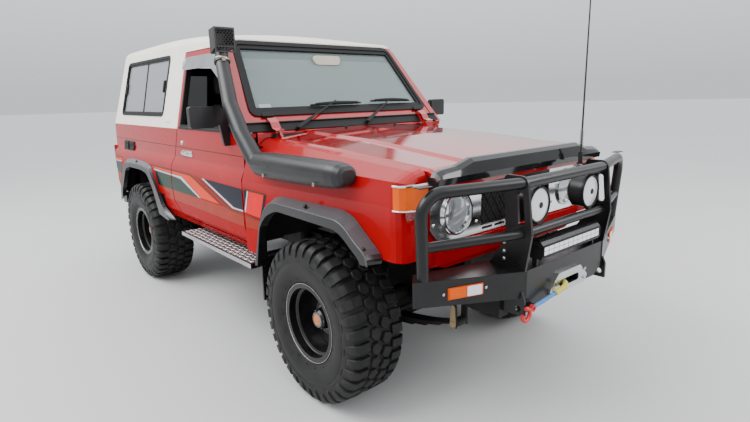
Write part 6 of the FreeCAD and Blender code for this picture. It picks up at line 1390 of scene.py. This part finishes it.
# The antenna: a black whip on a steel coil spring; and the tan shackle
# plates of the front springs, each held by a round bolt head.
paint(finish("antenna_black", (0.010, 0.009, 0.009), (0.018, 0.016, 0.016), (0.3, 0.5)), "antenna")
COIL_RADIUS, COIL_STEP, COIL_RISE = 0.0085, 0.7, 0.0011
coil_run = [at(0.748 + COIL_RADIUS * math.cos(k * COIL_STEP), 0.345 + COIL_RADIUS * math.sin(k * COIL_STEP),
               1.262 + COIL_RISE * k) for k in range(72)]
coil = curve_piece("antenna_spring", "POLY", coil_run, 0.0020, thickness=1)
coil.data.materials.append(hub_steel)
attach(coil, "vehicle")
shackle_tan = finish("shackle_tan", (0.30, 0.22, 0.115), (0.22, 0.165, 0.09), (0.4, 0.6), grain=0.3, dust=0.2)
for side, hand in HANDS:
    form = bmesh.new()
    outline = rounded([(0.542, 0.438), (0.578, 0.438), (0.572, 0.553), (0.548, 0.553)], 0.016)
    block(form, [at(x, side * 0.4135, z) for x, z in outline],
          [at(x, side * 0.4185, z) for x, z in outline], 0.001)
    lathe(form, [(-0.001, 0.014), (0.006, 0.014), (0.009, 0.010), (0.009, POLE)],
          at(0.560, side * 0.4185, 0.459), (0, side, 0), 24)
    make("shackle_plate_" + hand, form, shackle_tan, "vehicle", "bare_steel")

# The floor and the light: a plain pale floor under a soft studio sky that is
# brighter above, with two broad softboxes.
FLOOR_RADIUS = 90.0
floor_form = bmesh.new()
bmesh.ops.create_circle(floor_form, cap_ends=True, segments=64, radius=FLOOR_RADIUS)
floor_mesh = bpy.data.meshes.new("studio_floor")
floor_form.to_mesh(floor_mesh)
floor_form.free()
studio_floor = bpy.data.objects.new("studio_floor", floor_mesh)
bpy.context.scene.collection.objects.link(studio_floor)
floor_mesh.materials.append(finish("floor_pale", (0.46, 0.46, 0.46), (0.48, 0.48, 0.48), (0.7, 0.8),
                                   patch=0.4))

world = bpy.data.worlds.new("studio")
bpy.context.scene.world = world
world.use_nodes = True
sky = world.node_tree.nodes["Background"]
sky.inputs["Color"].default_value = (0.95, 0.97, 1.0, 1)
heading = node(world, "TexCoord").outputs["Generated"]
height = node(world, "SeparateXYZ", {0: heading}).outputs["Z"]
link(world, spread(world, height, 0.02, 0.75, 0.80, 2.3), sky, "Strength")


def softbox(name, place, target, size, power):
    """A broad lamp at a place that faces a target."""
    lamp = bpy.data.lights.new(name, "AREA")
    lamp.shape = "RECTANGLE"
    lamp.size, lamp.size_y = size
    lamp.energy = power
    holder = bpy.data.objects.new(name, lamp)
    aim = (Vector(target) - Vector(place)).to_track_quat("-Z", "Y")
    holder.matrix_world = Matrix.Translation(Vector(place)) @ aim.to_matrix().to_4x4()
    bpy.context.scene.collection.objects.link(holder)


softbox("overhead", (-1.5, -4.5, 6.0), (0, 0, 0.8), (7.0, 4.0), 700)
softbox("front_left", (6.5, 4.5, 4.5), (0.5, 0, 0.8), (4.0, 3.0), 350)
